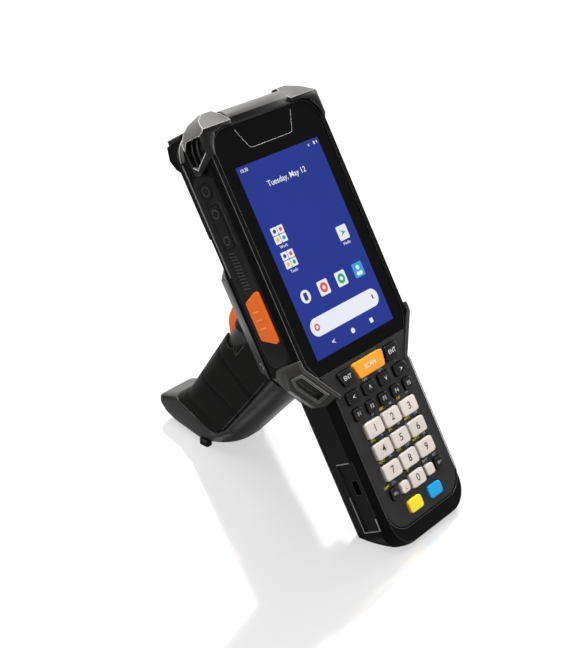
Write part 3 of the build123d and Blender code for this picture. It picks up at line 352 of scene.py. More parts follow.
cover = lacquered("cover_glass", (0.002, 0.002, 0.0022), 0.05)
coat("touch_glass", cover)
silver_print = lacquered("silver_print", (0.42, 0.42, 0.43), 0.3)
SILVER_R = 0.13
silver_route = [
    (-19.5, 63.0, 0.0), (-15.3, 54.6, 0.0), (-14.4, 53.5, 0.0), (-12.8, 53.0, 0.0),
    (12.8, 53.0, 0.0), (14.0, 53.5, 0.0), (14.8, 54.8, 0.0), (18.6, 63.2, 0.0),
]
bead("glass_print_line", [(silver_route, False)], SILVER_R, silver_print)
# The grey lines along the long edges are painted highlights of the bezel's edge.
edge_highlight_grey = lacquered("edge_highlight_grey", (0.11, 0.11, 0.115), 0.35)
EDGE_X = 38.3
EDGE_Z = 0.3
EDGE_R = 0.17
for side, sign in (("left", -1), ("right", 1)):
    long_edge = [(sign * EDGE_X, 57.0, EDGE_Z), (sign * EDGE_X, -44.0, EDGE_Z)]
    bead(f"glass_edge_line_{side}", [(long_edge, False)], EDGE_R, edge_highlight_grey)

# ---------------------------------------------------------------- picture on the display
# What the lit display shows through the glass: a plain blue ground, the time and date,
# a few plain icons, a search bar and three keys. Each mark is a thin raised layer.
PICTURE_W = 56.2
PICTURE_H = 93.6
PICTURE_Z = 0.08
MARK_T = 0.06


def thickened(piece, thick, placed):
    """Gives a flat shape its thickness and puts it in its place on the bench."""
    bpy.ops.object.mode_set(mode="EDIT")
    bpy.ops.mesh.select_all(action="SELECT")
    bpy.ops.mesh.extrude_region_move(TRANSFORM_OT_translate={"value": (0, 0, thick)})
    bpy.ops.mesh.select_all(action="SELECT")
    bpy.ops.mesh.normals_make_consistent(inside=False)
    bpy.ops.object.mode_set(mode="OBJECT")
    piece.data.transform(placed)
    piece.select_set(False)
    return piece


def tile(width, height, x, y, z, corner=0.0, sides=4, thick=MARK_T):
    """A thin flat mark with rounded corners, not yet leaned."""
    bpy.ops.mesh.primitive_plane_add(size=1)
    piece = bpy.context.active_object
    piece.data.transform(Matrix.Diagonal((width, height, 1, 1)))
    if corner:
        bpy.ops.object.mode_set(mode="EDIT")
        bpy.ops.mesh.select_all(action="SELECT")
        bpy.ops.mesh.bevel(offset=corner, segments=sides, affect="VERTICES")
        bpy.ops.object.mode_set(mode="OBJECT")
    return thickened(piece, thick, Matrix.Translation((x, y, z)))


def dart(size, x, y, z, turn, notch=1.0):
    """A thin arrowhead that points up the bench, turned by so many degrees."""
    bpy.ops.mesh.primitive_circle_add(vertices=4, radius=size, fill_type="NGON")
    piece = bpy.context.active_object
    corners = sorted(piece.data.vertices, key=lambda spot: spot.co.y)
    corners[0].co.y = -size * (1 - notch) * 0.6
    for wing in corners[1:3]:
        wing.co.x *= 0.75
        wing.co.y = -size * 0.8
    placed = Matrix.Translation((x, y, z)) @ Matrix.Rotation(radians(turn), 4, "Z")
    return thickened(piece, MARK_T, placed)


def letters(words, size, x, y, z, bold=0.0):
    """A thin raised word, not yet leaned."""
    bpy.ops.object.text_add()
    piece = bpy.context.active_object
    piece.data.body = words
    piece.data.size = size
    piece.data.offset = bold
    piece.data.align_x, piece.data.align_y = "CENTER", "CENTER"
    piece.data.extrude = MARK_T / 2
    piece.data.resolution_u = 4
    bpy.ops.object.convert(target="MESH")
    piece = bpy.context.active_object
    piece.data.transform(Matrix.Translation((x, y, z + MARK_T / 2)))
    piece.select_set(False)
    return piece


def joined(name, marks, finish, body="terminal"):
    """Joins marks of one finish into one piece and stands it in place."""
    take_up(marks[0])
    for mark in marks:
        mark.select_set(True)
    if len(marks) > 1:
        bpy.ops.object.join()
    return stand(bpy.context.active_object, name, finish, body)


ground = lacquered("picture_blue", (0.017, 0.036, 0.27), 0.06, light=1.0)
backing = tile(PICTURE_W, PICTURE_H, 0, 0, 0.0, thick=PICTURE_Z)
joined("display_ground", [backing], ground)

picture_tones = {
    "white": (0.80, 0.82, 0.88), "green": (0.02, 0.42, 0.16), "red": (0.75, 0.09, 0.04),
    "yellow": (0.85, 0.50, 0.02), "dark": (0.03, 0.05, 0.20), "blue": (0.05, 0.33, 0.70),
}
picture_words = [  # word, size, x, y, boldness
    ("10:30", 2.3, -23.8, 44.6, 0.0), ("Tuesday, May 12", 3.9, -0.5, 35.0, 0.02),
    ("Work", 2.1, -19.4, 6.7, 0.0), ("Tools", 2.1, -19.4, -5.2, 0.0),
    ("Media", 2.1, 19.0, -4.4, 0.0),
]
picture_darts = [  # tone, size, x, y, layer, turn
    ("white", 0.8, 20.6, 44.6, 0, 180), ("green", 2.1, 18.8, 0.8, 1, -90),
    ("white", 1.5, -14.0, -42.3, 0, 90),
]
picture_tiles = [  # tone, width, height, x, y, layer, corner, corner facets
    # two small signs beside the clock
    ("white", 0.9, 1.5, 24.6, 44.8, 0, 0.15, 4), ("white", 0.5, 1.2, 26.6, 44.8, 0, 0.1, 4),
    # the single icon, and the four icons of the bottom row
    ("white", 7.0, 7.0, 19.0, 0.8, 0, 0.7, 4),
    ("white", 6.2, 6.2, -19.3, -18.2, 0, 3.0, 6), ("dark", 2.4, 3.8, -19.3, -18.2, 1, 0.7, 4),
    ("white", 7.0, 7.0, -6.5, -18.2, 0, 0.7, 4), ("red", 4.8, 4.8, -6.5, -18.2, 1, 2.3, 6),
    ("white", 1.9, 1.9, -6.5, -18.2, 2, 0.9, 6),
    ("white", 7.0, 7.0, 6.2, -18.2, 0, 0.7, 4), ("green", 4.8, 4.8, 6.2, -18.2, 1, 2.3, 6),
    ("white", 1.9, 1.9, 6.2, -18.2, 2, 0.9, 6),
    ("blue", 7.0, 7.0, 19.0, -18.2, 0, 0.7, 4), ("white", 2.2, 2.2, 19.0, -17.0, 1, 1.05, 6),
    ("white", 4.2, 1.8, 19.0, -19.9, 1, 0.85, 4),
    # the search bar, its ring and its stroke
    ("white", 48.8, 8.6, 0, -33.0, 0, 4.25, 8), ("red", 3.4, 3.4, -20.3, -33.0, 1, 1.6, 6),
    ("white", 1.7, 1.7, -20.3, -33.0, 2, 0.8, 6), ("dark", 0.9, 2.2, 20.6, -32.7, 1, 0.4, 4),
    # the round and the square key
    ("white", 2.5, 2.5, 0.0, -42.3, 0, 1.2, 6), ("white", 2.2, 2.2, 13.8, -42.3, 0, 0.2, 4),
]
FOLDER_X = -19.4
FOLDER_STEP = 2.05
folder_spots = [("dark", -1, 1), ("red", 1, 1), ("yellow", -1, -1), ("green", 1, -1)]
for folder_y in (12.3, 0.4):
    for tone, across, along in folder_spots:
        x, y = FOLDER_X + across * FOLDER_STEP, folder_y + along * FOLDER_STEP
        picture_tiles.append(("white", 3.8, 3.8, x, y, 0, 0.4, 4))
        picture_tiles.append((tone, 1.9, 1.9, x, y, 1, 0.9, 4))

heaps = {tone: [] for tone in picture_tones}
for word, size, x, y, bold in picture_words:
    heaps["white"].append(letters(word, size, x, y, PICTURE_Z, bold))
for tone, size, x, y, layer, turn in picture_darts:
    heaps[tone].append(dart(size, x, y, PICTURE_Z + layer * MARK_T, turn))
for tone, width, tall, x, y, layer, corner, sides in picture_tiles:
    heaps[tone].append(tile(width, tall, x, y, PICTURE_Z + layer * MARK_T, corner, sides))
for tone, marks in heaps.items():
    name = f"display_{tone}_marks"
    lamp_tone = lacquered(name + "_light", picture_tones[tone], 0.06, light=1.0, depth=0.05)
    joined(name, marks, lamp_tone)
coat("display_panel", cover)

# ---------------------------------------------------------------- keypad plate
# A dark grey plate with fine matte grain covers the membrane, with a thin raised bead
# round its lower end. Small letters and marks are printed beside the keys.
plate_grey = moulded("plate_grey", (0.021, 0.0195, 0.0195), 0.5, edge_wear_and_highlight=0.3, edge_lift_for_wear_and_highlight=0.04, gloss=0.2)
coat("keypad_plate", plate_grey)
MARK_SUNK = 0.02
plate_z = bench_box("keypad_plate")[1].z - MARK_SUNK
BEAD_X = 27.5
BEAD_TOP = -66.5
BEAD_TURN_Y = -123.6
BEAD_TURN_R = 11.4
BEAD_R = 0.2
left_turn, right_turn = [], []
for angle in range(0, 91, 9):
    aside = BEAD_X - BEAD_TURN_R + BEAD_TURN_R * cos(radians(angle))
    below = BEAD_TURN_Y - BEAD_TURN_R * sin(radians(angle))
    left_turn.append((-aside, below, plate_z))
    right_turn.insert(0, (aside, below, plate_z))
plate_route = [(-BEAD_X, BEAD_TOP, plate_z), *left_turn, *right_turn, (BEAD_X, BEAD_TOP, plate_z)]
plate_edge = moulded("plate_edge", (0.02, 0.02, 0.02), 0.35, edge_wear_and_highlight=0.4, edge_lift_for_wear_and_highlight=0.08, gloss=0.5)
bead("keypad_plate_bead", [(plate_route, False)], BEAD_R, plate_edge)

yellow_print = lacquered("yellow_print", (0.62, 0.55, 0.02), 0.4)
grey_print = lacquered("grey_print", (0.42, 0.46, 0.56), 0.4)
YELLOW_SIZE = 1.75
GREY_SIZE = YELLOW_SIZE * 0.95
PRINT_ABOVE = 1.15
printed_words = [  # key below, yellow word, grey word, how far each stands aside
    ("key_1", "", "L1", 3.3), ("key_2", "ABC", "F6", 3.3), ("key_3", "DEF", "F7", 3.3),
    ("key_4", "GHI", "F8", 3.3), ("key_5", "JKL", "F9", 3.3), ("key_6", "MNO", "F10", 3.3),
    ("key_7", "PQRS", "PG", 3.3), ("key_8", "TUV", "CAP", 3.3), ("key_9", "WXYZ", "FN", 3.3),
    ("key_0", "SP", "*", 3.3), ("key_escape", "SHFT", "CTL", 2.6),
    ("key_clear", "", "BKSP", 0), ("key_shift", "", "ALT", 0), ("key_up", "", "PgUp", 0),
    ("key_down", "", "PgDn", 0), ("key_left", "", "-", 0), ("key_right", "", "+", 0),
]
yellow_words, grey_words = [], []
for node, yellow_word, grey_word, aside in printed_words:
    low, high = bench_box(node)
    middle_x, print_y = (low.x + high.x) / 2, high.y + PRINT_ABOVE
    if yellow_word:
        yellow_words.append(
            letters(yellow_word, YELLOW_SIZE, middle_x - aside, print_y, plate_z, bold=0.02))
    grey_words.append(letters(grey_word, GREY_SIZE, middle_x + aside, print_y, plate_z))
joined("plate_yellow_print", yellow_words, yellow_print)
joined("plate_grey_print", grey_words, grey_print)

# ---------------------------------------------------------------- keys
# Hard-topped silicone keys: warm white digits, black arrows and function keys, an amber
# bar, and a yellow and a blue one. Their edges are rounded and their marks are printed.
MERGE_GAP = 0.000005
FLAT_ANGLE = radians(0.8)
SOFT_ANGLE = radians(32)
SMOOTH_ANGLE = radians(35)


def softened(node, finish, width, segments=2):
    """A copy of a CAD node with its facets merged and its edges rounded, in its place."""
    mesh = frame["nodes"][node].data.copy()
    piece = bpy.data.objects.new(node + "_moulding", mesh)
    bpy.context.collection.objects.link(piece)
    take_up(piece)
    bpy.ops.object.mode_set(mode="EDIT")
    bpy.ops.mesh.select_all(action="SELECT")
    bpy.ops.mesh.remove_doubles(threshold=MERGE_GAP)
    bpy.ops.mesh.dissolve_limited(angle_limit=FLAT_ANGLE)
    bpy.ops.object.mode_set(mode="OBJECT")
    if width:
        edges = piece.modifiers.new("edges", "BEVEL")
        edges.width = width / 1000
        edges.segments = segments
        edges.limit_method = "ANGLE"
        edges.angle_limit = SOFT_ANGLE
        edges.miter_outer = "MITER_ARC"
        bpy.ops.object.modifier_apply(modifier="edges")
    bpy.ops.object.shade_smooth_by_angle(angle=SMOOTH_ANGLE)
    mesh.materials.clear()
    mesh.materials.append(finish)
    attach(piece, node if node in frame["bodies"] else "terminal")
    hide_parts(node)
    piece.select_set(False)
    return piece


cream = moulded("key_cream", (0.72, 0.65, 0.59), 0.42, edge_wear_and_highlight=0.15, edge_lift_for_wear_and_highlight=0.1, fleck=0.06, gloss=0.5)
amber = moulded("key_amber", (0.93, 0.36, 0.012), 0.35, edge_wear_and_highlight=0.2, edge_lift_for_wear_and_highlight=0.1, fleck=0.08, gloss=0.5)
yellow = moulded("key_yellow_skin", (1.0, 0.76, 0.02), 0.35, edge_wear_and_highlight=0.15, fleck=0.06, gloss=0.5)
cyan = moulded("key_blue_skin", (0.0, 0.34, 0.72), 0.35, edge_wear_and_highlight=0.15, fleck=0.06, gloss=0.5)
dark_key = moulded(
    "key_dark_skin", (0.006, 0.006, 0.0063), 0.36, edge_wear_and_highlight=0.6, edge_lift_for_wear_and_highlight=0.05, gloss=0.25)
dark_print = lacquered("dark_print", (0.02, 0.02, 0.022), 0.4)
white_print = lacquered("white_print", (0.75, 0.75, 0.75), 0.4)
soft_print = lacquered("soft_print", (0.52, 0.52, 0.53), 0.4)
CREAM_TRIM = (0.965, 0.93)
KEY_ROUND = 0.65
DARK_KEY_ROUND = 0.45
ARROW_NOTCH = 1.4
key_looks = [  # node, finish, slot, word or arrow's turn, its size, its print, boldness
    ("key_scan", amber, "key_amber", "SCAN", 3.1, white_print, 0.05),
    ("key_enter_left", dark_key, "key_dark", "ENT", 2.9, white_print, 0.025),
    ("key_enter_right", dark_key, "key_dark", "ENT", 2.9, white_print, 0.025),
    ("key_left", dark_key, "key_dark", 90, 1.3, white_print, 0.0),
    ("key_up", dark_key, "key_dark", 0, 1.3, white_print, 0.0),
    ("key_down", dark_key, "key_dark", 180, 1.3, white_print, 0.0),
    ("key_right", dark_key, "key_dark", -90, 1.3, white_print, 0.0),
    ("key_escape", dark_key, "key_dark", "ESC", 1.9, soft_print, 0.0),
    ("key_shift", dark_key, "key_dark", "SFT", 1.9, soft_print, 0.0),
    ("key_point", cream, "key_white", ".", 4.4, dark_print, 0.03),
    ("key_clear", cream, "key_white", "<", 3.0, soft_print, 0.0),
    ("key_yellow", yellow, "key_yellow", None, 0, None, 0.0),
    ("key_blue", cyan, "key_blue", None, 0, None, 0.0),
]
for count in range(10):
    key_looks.append((f"key_{count}", cream, "key_white", str(count), 5.0, dark_print, 0.035))
for count in range(1, 6):
    key_looks.append((f"key_f{count}", dark_key, "key_dark", f"F{count}", 2.7, soft_print, 0.02))
for node, finish, slot, mark, size, print_finish, bold in key_looks:
    low, high = bench_box(node)
    middle = (low + high) / 2
    edge_round = DARK_KEY_ROUND if finish is dark_key else KEY_ROUND
    cap = softened(node, finish, edge_round, segments=3)
    if finish is cream:
        centre = Matrix.Translation(middle)
        trimmed = centre @ Matrix.Diagonal((*CREAM_TRIM, 1, 1)) @ centre.inverted()
        cap.data.transform(LEANED @ trimmed @ LAID)
    if mark is None:
        continue
    if isinstance(mark, str):
        legend = letters(mark, size, middle.x, middle.y, high.z - MARK_SUNK, bold)
    else:
        legend = dart(size, middle.x, middle.y, high.z - MARK_SUNK, mark, ARROW_NOTCH)
    joined(node + "_legend", [legend], print_finish, node)
coat("keypad_membrane", dark_key)

# ---------------------------------------------------------------- top cap and corner bumpers
# Over-moulded black rubber, painted dark grey where it faces up as the highlight from above.
# The cap rolls over the top edge, and each bumper wraps a corner, with painted pale highlights
# along its facets' edges.
# The grey finish below paints the highlight on up-facing facets; the rim grey paints highlight
# lines on their edges.
highlight_grey_rubber = moulded(
    "highlight_grey_rubber", (0.085, 0.083, 0.079), 0.42, edge_wear_and_highlight=0.8, edge_lift_for_wear_and_highlight=0.22, gloss=0.4)
bumper_black = moulded(
    "bumper_black", (0.006, 0.006, 0.006), 0.34, edge_wear_and_highlight=0.8, edge_lift_for_wear_and_highlight=0.12, gloss=0.3)
rim_highlight_grey = moulded("rim_highlight_grey", (0.52, 0.51, 0.48), 0.4, edge_wear_and_highlight=0.3, edge_lift_for_wear_and_highlight=0.2, gloss=0.4)
CAP_ROUND = 0.35
CAP_UPWARD = 0.25
BUMPER_ROUND = 0.3
BUMPER_UPWARD = 0.6
RIM_R = 0.0002
RIM_SUNK = 0.00017
RIM_ANGLE = radians(24)


def two_tone(piece, finish, upward):
    """Gives the facets that face up the bench a second, paler finish: a painted highlight from the
    lamp above.
    """
    piece.data.materials.append(finish)
    for facet in piece.data.polygons:
        if facet.normal.dot(UP_BENCH) > upward:
            facet.material_index = 1


def rims(node, upward):
    """Thin pale rims, painted highlights, along the sharp edges of the facets that face up the
    bench.
    """
    work = bmesh.new()
    work.from_mesh(frame["nodes"][node].data)
    bmesh.ops.remove_doubles(work, verts=work.verts, dist=MERGE_GAP)
    bmesh.ops.dissolve_limit(work, angle_limit=FLAT_ANGLE, verts=work.verts, edges=work.edges)
    spare = []
    for edge in work.edges:
        sharp = edge.is_manifold and edge.is_convex and edge.calc_face_angle() > RIM_ANGLE
        if not (sharp and any(face.normal.dot(UP_BENCH) > upward for face in edge.link_faces)):
            spare.append(edge)
    bmesh.ops.delete(work, geom=work.faces[:], context="FACES_ONLY")
    bmesh.ops.delete(work, geom=spare, context="EDGES")
    mesh = bpy.data.meshes.new(node + "_rims")
    work.to_mesh(mesh)
    work.free()
    piece = bpy.data.objects.new(node + "_rims", mesh)
    bpy.context.collection.objects.link(piece)
    take_up(piece)
    bpy.ops.object.convert(target="CURVE")
    piece = bpy.context.active_object
    piece.data.bevel_depth = RIM_R
    piece.data.bevel_resolution = 1
    piece.data.use_fill_caps = True
    bpy.ops.object.convert(target="MESH")
    piece = bpy.context.active_object
    bpy.ops.object.shade_smooth_by_angle(angle=ROUND_SMOOTH)
    piece.data.transform(Matrix.Translation(UP_BENCH * -RIM_SUNK))
    piece.data.materials.clear()
    piece.data.materials.append(rim_highlight_grey)
    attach(piece, "terminal")
    piece.select_set(False)


# Up-facing facets get the grey that paints the overhead highlight, and pale rims paint highlight
# lines.
cap = softened("top_cap", bumper_black, CAP_ROUND)
two_tone(cap, highlight_grey_rubber, CAP_UPWARD)
for side in ("left", "right"):
    bumper = softened(f"bumper_{side}", bumper_black, BUMPER_ROUND)
    two_tone(bumper, highlight_grey_rubber, BUMPER_UPWARD)
    rims(f"bumper_{side}", BUMPER_UPWARD)

# ---------------------------------------------------------------- strap ears
# A loop for the hand strap stands out from each shoulder: glossy grey rubber over the
# housing's nylon. The strap's opening is sunk in its sloped facet, inside two raised rims painted
# pale as highlights.
ear_rubber = moulded("ear_rubber", (0.026, 0.025, 0.023), 0.36, edge_wear_and_highlight=0.8, edge_lift_for_wear_and_highlight=0.16, gloss=0.4)
# The pale grey below paints highlight lines on raised rims and edges.
highlight_line_grey = moulded("highlight_line_grey", (0.26, 0.255, 0.245), 0.4, edge_wear_and_highlight=0.4, edge_lift_for_wear_and_highlight=0.2, gloss=0.4)
EAR_STATIONS = [  # x, y on the housing's edge, outward x, y, reach, drop of the facet
    (40.0, -42.4, 1.0, 0.0, 1.4, 5.6), (40.0, -43.6, 1.0, -0.05, 2.5, 7.6),
    (40.0, -45.6, 1.0, -0.1, 2.75, 8.2), (39.6, -47.6, 0.93, -0.36, 3.4, 8.8),
    (37.8, -49.9, 0.796, -0.606, 6.1, 9.2), (33.4, -55.7, 0.796, -0.606, 6.2, 9.4),
    (28.5, -62.2, 0.796, -0.606, 6.2, 8.8), (26.6, -64.6, 0.796, -0.606, 4.6, 6.5),
    (25.6, -66.0, 0.796, -0.606, 2.4, 4.5), (25.2, -66.6, 0.796, -0.606, 0.3, 2.5),
]
EAR_TOP = 1.15
EAR_BACK = -16.5
EAR_ROOT = -1.5
EAR_LEDGE = 0.2
EAR_ROUND = 0.22
EAR_SOFT_ANGLE = radians(25)
OPEN_FACET = 3
OPEN_FROM = 3
OPEN_TO = 5
# Steps marked 1 get the pale grey that paints the rims' highlights.
OPEN_STEPS = [  # width of the step, its rise, 1 where it is a pale rim
    (0.5, 0.0, 0), (0.3, 0.3, 1), (0.3, -0.25, 0), (0.3, 0.0, 0),
    (0.2, 0.2, 1), (0.2, -0.3, 0), (0.15, -3.2, 0),
]


def ear_ring(x, y, out_x, out_y, reach, drop):
    """The ear's section at one station: a broad sloped facet over a tapered back."""
    lower = EAR_TOP - drop
    back = max(EAR_BACK, lower - drop)
    profile = [(EAR_ROOT, EAR_BACK * 0.6), (EAR_ROOT, EAR_TOP), (EAR_LEDGE, EAR_TOP)]
    for share in (0.08, 0.82, 1.0):
        profile.append((EAR_LEDGE + (reach - EAR_LEDGE) * share, EAR_TOP - drop * share))
    profile += [(reach, lower - drop * 0.3), (reach * 0.4, back), (EAR_ROOT, back)]
    return [Vector((x + out_x * r, y + out_y * r, z)) for r, z in profile]


def ear(side, sign):
    """Lofts the ear, then sinks the strap's opening into its sloped facet."""
    work = bmesh.new()
    rings = [[work.verts.new(spot) for spot in ear_ring(*station)] for station in EAR_STATIONS]
    count = len(rings[0])
    opening = []
    for index, (first, second) in enumerate(zip(rings, rings[1:])):
        for step in range(count):
            after = (step + 1) % count
            face = work.faces.new((first[step], second[step], second[after], first[after]))
            if step == OPEN_FACET and OPEN_FROM <= index <= OPEN_TO:
                opening.append(face)
    work.faces.new(rings[0])
    work.faces.new(list(reversed(rings[-1])))
    bmesh.ops.recalc_face_normals(work, faces=work.faces)
    for width, rise, tone in OPEN_STEPS:
        rim = bmesh.ops.inset_region(
            work, faces=opening, thickness=width, depth=rise, use_even_offset=True)
        for facet in rim["faces"]:
            facet.material_index = tone
    name = f"ear_{side}_loop"
    mesh = bpy.data.meshes.new(name)
    work.to_mesh(mesh)
    work.free()
    mesh.materials.append(ear_rubber)
    mesh.materials.append(highlight_line_grey)
    piece = bpy.data.objects.new(name, mesh)
    bpy.context.collection.objects.link(piece)
    take_up(piece)
    if sign < 0:
        mesh.transform(Matrix.Diagonal((-1, 1, 1, 1)))
        mesh.flip_normals()
    soften = piece.modifiers.new("edges", "BEVEL")
    soften.width = EAR_ROUND
    soften.segments = 2
    soften.limit_method = "ANGLE"
    soften.angle_limit = EAR_SOFT_ANGLE
    bpy.ops.object.modifier_apply(modifier="edges")
    bpy.ops.object.shade_smooth_by_angle(angle=SMOOTH_ANGLE)
    stand(piece, name, ear_rubber)
    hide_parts(f"ear_{side}")


ear("left", -1)
ear("right", 1)

# ---------------------------------------------------------------- side panels and triggers
# Soft black panels are let into both sides, with a row of raised ticks and a short
# raised line. Each carries an orange scan trigger with three raised bars.
rubber = moulded("black_rubber", (0.0045, 0.0045, 0.0045), 0.5, edge_wear_and_highlight=0.5, edge_lift_for_wear_and_highlight=0.05, gloss=0.16)
raised_rubber = moulded("raised_rubber", (0.03, 0.03, 0.029), 0.4, edge_wear_and_highlight=0.6, edge_lift_for_wear_and_highlight=0.1, gloss=0.4)
orange = moulded(
    "trigger_orange", (1.0, 0.165, 0.004), 0.36, edge_wear_and_highlight=0.2, edge_lift_for_wear_and_highlight=0.1, fleck=0.06, gloss=0.3)
bar_orange = moulded(
    "bar_orange", (0.95, 0.30, 0.05), 0.36, edge_wear_and_highlight=0.3, edge_lift_for_wear_and_highlight=0.2, fleck=0.08, gloss=0.5)
PANEL_ROUND = 0.3
TRIGGER_ROUND = 0.5
BAR_R = 0.5
BAR_YS = (-15.5, -19.5, -23.5)
BAR_FRONT, BAR_REAR = -8.0, -11.6
TICK_R = 0.22
TICK_COUNT = 12
TICK_PITCH = 1.55
TICK_FRONT = (-4.5, -8.4)
TICK_REAR = (-4.0, -12.6)
PANEL_LINE_R = 0.2
PANEL_LINE_Z = -5.0
PANEL_LINE_Y = (16.0, 36.0)
for side, sign in (("left", -1), ("right", 1)):
    panel, trigger = f"side_panel_{side}", f"side_trigger_{side}"
    softened(panel, rubber, PANEL_ROUND)
    softened(trigger, orange, TRIGGER_ROUND, segments=3)
    face = sign * max(abs(corner.x) for corner in bench_box(trigger))
    bars = [([(face, y, BAR_FRONT), (face, y, BAR_REAR)], False) for y in BAR_YS]
    bead(trigger + "_bars", bars, BAR_R, bar_orange, trigger)
    face = sign * max(abs(corner.x) for corner in bench_box(panel))
    ticks = []
    for step in range(TICK_COUNT):
        ends = [(face, y + TICK_PITCH * step, z) for y, z in (TICK_FRONT, TICK_REAR)]
        ticks.append((ends, False))
    bead(f"side_panel_ticks_{side}", ticks, TICK_R, raised_rubber)
    line = [(face, y, PANEL_LINE_Z) for y in PANEL_LINE_Y]
    bead(f"side_panel_line_{side}", [(line, False)], PANEL_LINE_R, raised_rubber)

# ---------------------------------------------------------------- power and volume keys
# Two rubber keys in the left panel: a round one for the power and a rocker for the
# volume. Raised rings mark where the finger presses.
SIDE_KEY_ROUND = 0.35
RING_R = 0.26
RING_POINTS = 24


def ring(x, y, z, radius):
    """Points round a ring that lies in the side's face."""
    turns = [radians(360 / RING_POINTS * step) for step in range(RING_POINTS)]
    return [(x, y + radius * cos(turn), z + radius * sin(turn)) for turn in turns]


side_keys = [("power_key", 2.1, (0,)), ("volume_key", 1.9, (-6.4, 6.4))]  # radius, places
for node, ring_radius, steps in side_keys:
    softened(node, rubber, SIDE_KEY_ROUND)
    low, high = bench_box(node)
    middle = (low + high) / 2
    rings = [(ring(low.x, middle.y + step, middle.z, ring_radius), True) for step in steps]
    bead(node + "_rings", rings, RING_R, raised_rubber, node)

# ---------------------------------------------------------------- neck recesses
# Each side of the neck has a shallow recess with a contact port. A raised lip, painted
# pale as a highlight, runs along its back edge and round its lower end, and a short one crosses its
# top.
LIP_R = 0.3
LIP_X = 29.7
lower_lip = [(-112.0, -14.7), (-130.2, -14.7), (-130.2, -4.4), (-124.0, -4.4)]
upper_lip = [(-95.8, -14.5), (-95.8, -6.0)]
# The pale lips are painted highlights on the recess edges.
for side, sign in (("left", -1), ("right", 1)):
    lips = [([(sign * LIP_X, y, z) for y, z in route], False) for route in (lower_lip, upper_lip)]
    bead(f"neck_recess_lip_{side}", lips, LIP_R, highlight_line_grey)

# ---------------------------------------------------------------- rear housing
# The back shell, split from the front along a straight line, with the hump for the
# electronics and the deep scan head behind its red window. The same black plastic.
coat("rear_housing", black_shell)
glass_red = lacquered("scan_glass_red", (0.05, 0.004, 0.006), 0.04)
coat("scan_window", glass_red)
# Pale beads along the parting line and round each upper corner, with a grey band, are painted
# highlights on those edges.
PARTING_R = 0.36
PARTING_X = 40.0
PARTING_Z = -18.3
CORNER_X = 28.0
CORNER_Y = 57.5
BAND_R = 0.95
CORNER_LINE_R = 0.4
for side, sign in (("left", -1), ("right", 1)):
    parting = [(sign * PARTING_X, y, PARTING_Z) for y in (CORNER_Y, 3.0)]
    bead(f"parting_bead_{side}", [(parting, False)], PARTING_R, highlight_line_grey)
    turns = [radians(angle) for angle in range(4, 82, 6)]
    band, thin = [
        [(sign * (CORNER_X + reach * cos(turn)), CORNER_Y + reach * sin(turn), z) for turn in turns]
        for reach, z in ((12.1, -15.9), (12.0, -18.4))
    ]
    bead(f"corner_band_{side}", [(band, False)], BAND_R, highlight_grey_rubber)
    bead(f"corner_line_{side}", [(thin, False)], CORNER_LINE_R, highlight_line_grey)

# ---------------------------------------------------------------- battery door
# The battery slides in from the back of the neck under a black plastic door, with four
# raised ridges for the thumb.
coat("battery_door", black_shell)
door_z = bench_box("battery_door")[0].z
RIDGE_R = 0.4
RIDGE_X = 9.0
RIDGE_YS = (-84.0, -86.5, -89.0, -91.5)
ridges = [([(-RIDGE_X, y, door_z), (RIDGE_X, y, door_z)], False) for y in RIDGE_YS]
bead("battery_door_ridges", ridges, RIDGE_R, black_shell)

# ---------------------------------------------------------------- modules inside
# The scan engine, battery pack, trigger switch and main board are bought modules,
# cased in plain black plastic or on a green laminate. Hardly any of them shows.
inner = moulded("inner_black", (0.012, 0.012, 0.012), 0.55)
board = moulded("board_green", (0.01, 0.05, 0.02), 0.4)
for node in ("scan_engine", "battery_pack", "trigger_switch"):
    coat(node, inner)
coat("main_board", board)

# ---------------------------------------------------------------- grip cradle
# A boat-shaped saddle of satin black nylon carries the grip. Steel screws hold it
# through the skirt, and others hold the grip in it.
satin = moulded("satin_black", (0.006, 0.0055, 0.0049), 0.34, edge_wear_and_highlight=0.5, edge_lift_for_wear_and_highlight=0.12, gloss=0.45)
CRADLE_ROUND = 0.5
softened("grip_cradle", satin, CRADLE_ROUND)
steel = moulded("screw_steel", (0.35, 0.35, 0.36), 0.3)
steel.node_tree.nodes["Principled BSDF"].inputs["Metallic"].default_value = 1.0
for node in ("cradle_screws", "grip_screws"):
    coat(node, steel)

# ---------------------------------------------------------------- grip body
# A hollow moulding of the same satin nylon, with the sole and toe that it stands on.
# Its outside flows in one smooth skin.
GRIP_VOXEL = 0.0007
GRIP_ROUNDS = 4


def melted(node, finish, voxel, rounds):
    """A copy of a CAD node with its facets melted into one smooth skin."""
    piece = softened(node, finish, 0)
    take_up(piece)
    skin = piece.modifiers.new("skin", "REMESH")
    skin.mode = "VOXEL"
    skin.voxel_size = voxel
    bpy.ops.object.modifier_apply(modifier="skin")
    relax = piece.modifiers.new("relax", "SMOOTH")
    relax.factor = 0.5
    relax.iterations = rounds
    bpy.ops.object.modifier_apply(modifier="relax")
    bpy.ops.object.shade_smooth_by_angle(angle=ROUND_SMOOTH)
    piece.select_set(False)
    return piece


melted("grip_body", satin, GRIP_VOXEL, GRIP_ROUNDS)

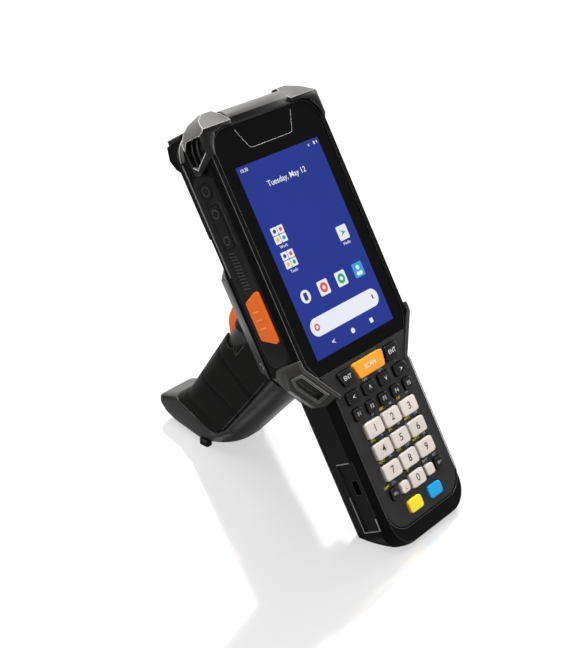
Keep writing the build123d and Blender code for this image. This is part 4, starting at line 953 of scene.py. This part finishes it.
# ---------------------------------------------------------------- grip sleeve
# A soft rubber sleeve is moulded round the front and sides of the grip, with three
# shallow finger grooves. Fine raised seams mark its notch and its lower side.
sleeve_rubber = moulded(
    "sleeve_rubber", (0.0035, 0.0034, 0.003), 0.42, edge_wear_and_highlight=0.4, edge_lift_for_wear_and_highlight=0.05, gloss=0.07)
SLEEVE_VOXEL = 0.0005
SLEEVE_ROUNDS = 3
GROOVES = [  # a point of the groove, y and z, and the way across it
    (-40.6, -74.6, 0.432, 0.902), (-48.1, -93.5, 0.584, 0.812), (-55.7, -111.4, 0.686, 0.727),
]
GROOVE_HALF = 1.5
GROOVE_DEPTH = 0.0007
sleeve = melted("grip_sleeve", sleeve_rubber, SLEEVE_VOXEL, SLEEVE_ROUNDS)
for spot in sleeve.data.vertices:
    laid = LAID @ spot.co
    inward = -spot.normal
    if spot.normal.x * laid.x < -0.2:
        continue
    for start_y, start_z, across_y, across_z in GROOVES:
        off = abs((laid.y - start_y) * across_y + (laid.z - start_z) * across_z) / GROOVE_HALF
        if off < 1:
            spot.co += inward * GROOVE_DEPTH * (1 - off * off)

SEAM_R = 0.2
SEAM_STEPS = 12
FAR_SIDE = 60
seam_runs = [  # y and z of each seam's corners
    [(-28.3, -65.8), (-35.4, -65.5), (-31.1, -54.9)],
    [(-27.3, -60.4), (-35.4, -65.5)],
    [(-52.2, -53.4), (-71.5, -101.3)],
]
skin_tree = BVHTree.FromPolygons(
    [spot.co for spot in sleeve.data.vertices],
    [facet.vertices for facet in sleeve.data.polygons],
)


def seam(run, sign):
    """The bench points of a seam, laid on the sleeve's skin from one side."""
    route = []
    for (from_y, from_z), (to_y, to_z) in zip(run, run[1:]):
        for step in range(SEAM_STEPS):
            share = step / (SEAM_STEPS - 1)
            y = from_y + (to_y - from_y) * share
            z = from_z + (to_z - from_z) * share
            start = LEANED @ Vector((sign * FAR_SIDE, y, z))
            met = skin_tree.ray_cast(start, Vector((-sign, 0, 0)))[0]
            if met is not None:
                route.append(LAID @ met)
    return route


seams = [(seam(run, sign), False) for sign in (-1, 1) for run in seam_runs]
bead("grip_sleeve_seams", seams, SEAM_R, raised_rubber)

# ---------------------------------------------------------------- grip trigger
# A moulded orange trigger turns on a steel pin across the grip. A steel coil on the
# pin brings it back.
softened("grip_trigger", orange, TRIGGER_ROUND, segments=3)
for node in ("trigger_pin", "trigger_spring"):
    coat(node, steel)

# ---------------------------------------------------------------- foot pads
# Two small rubber feet under the sole. A stem moulded with each one goes up into the
# sole and holds it there.
PAD_ROUND = 0.2
STEM_FROM = 0.0006
STEM_L = 0.0026
feet = softened("foot_pads", rubber, PAD_ROUND)
for spot in feet.data.vertices:
    if spot.co.z > STEM_FROM:
        spot.co.z += STEM_L
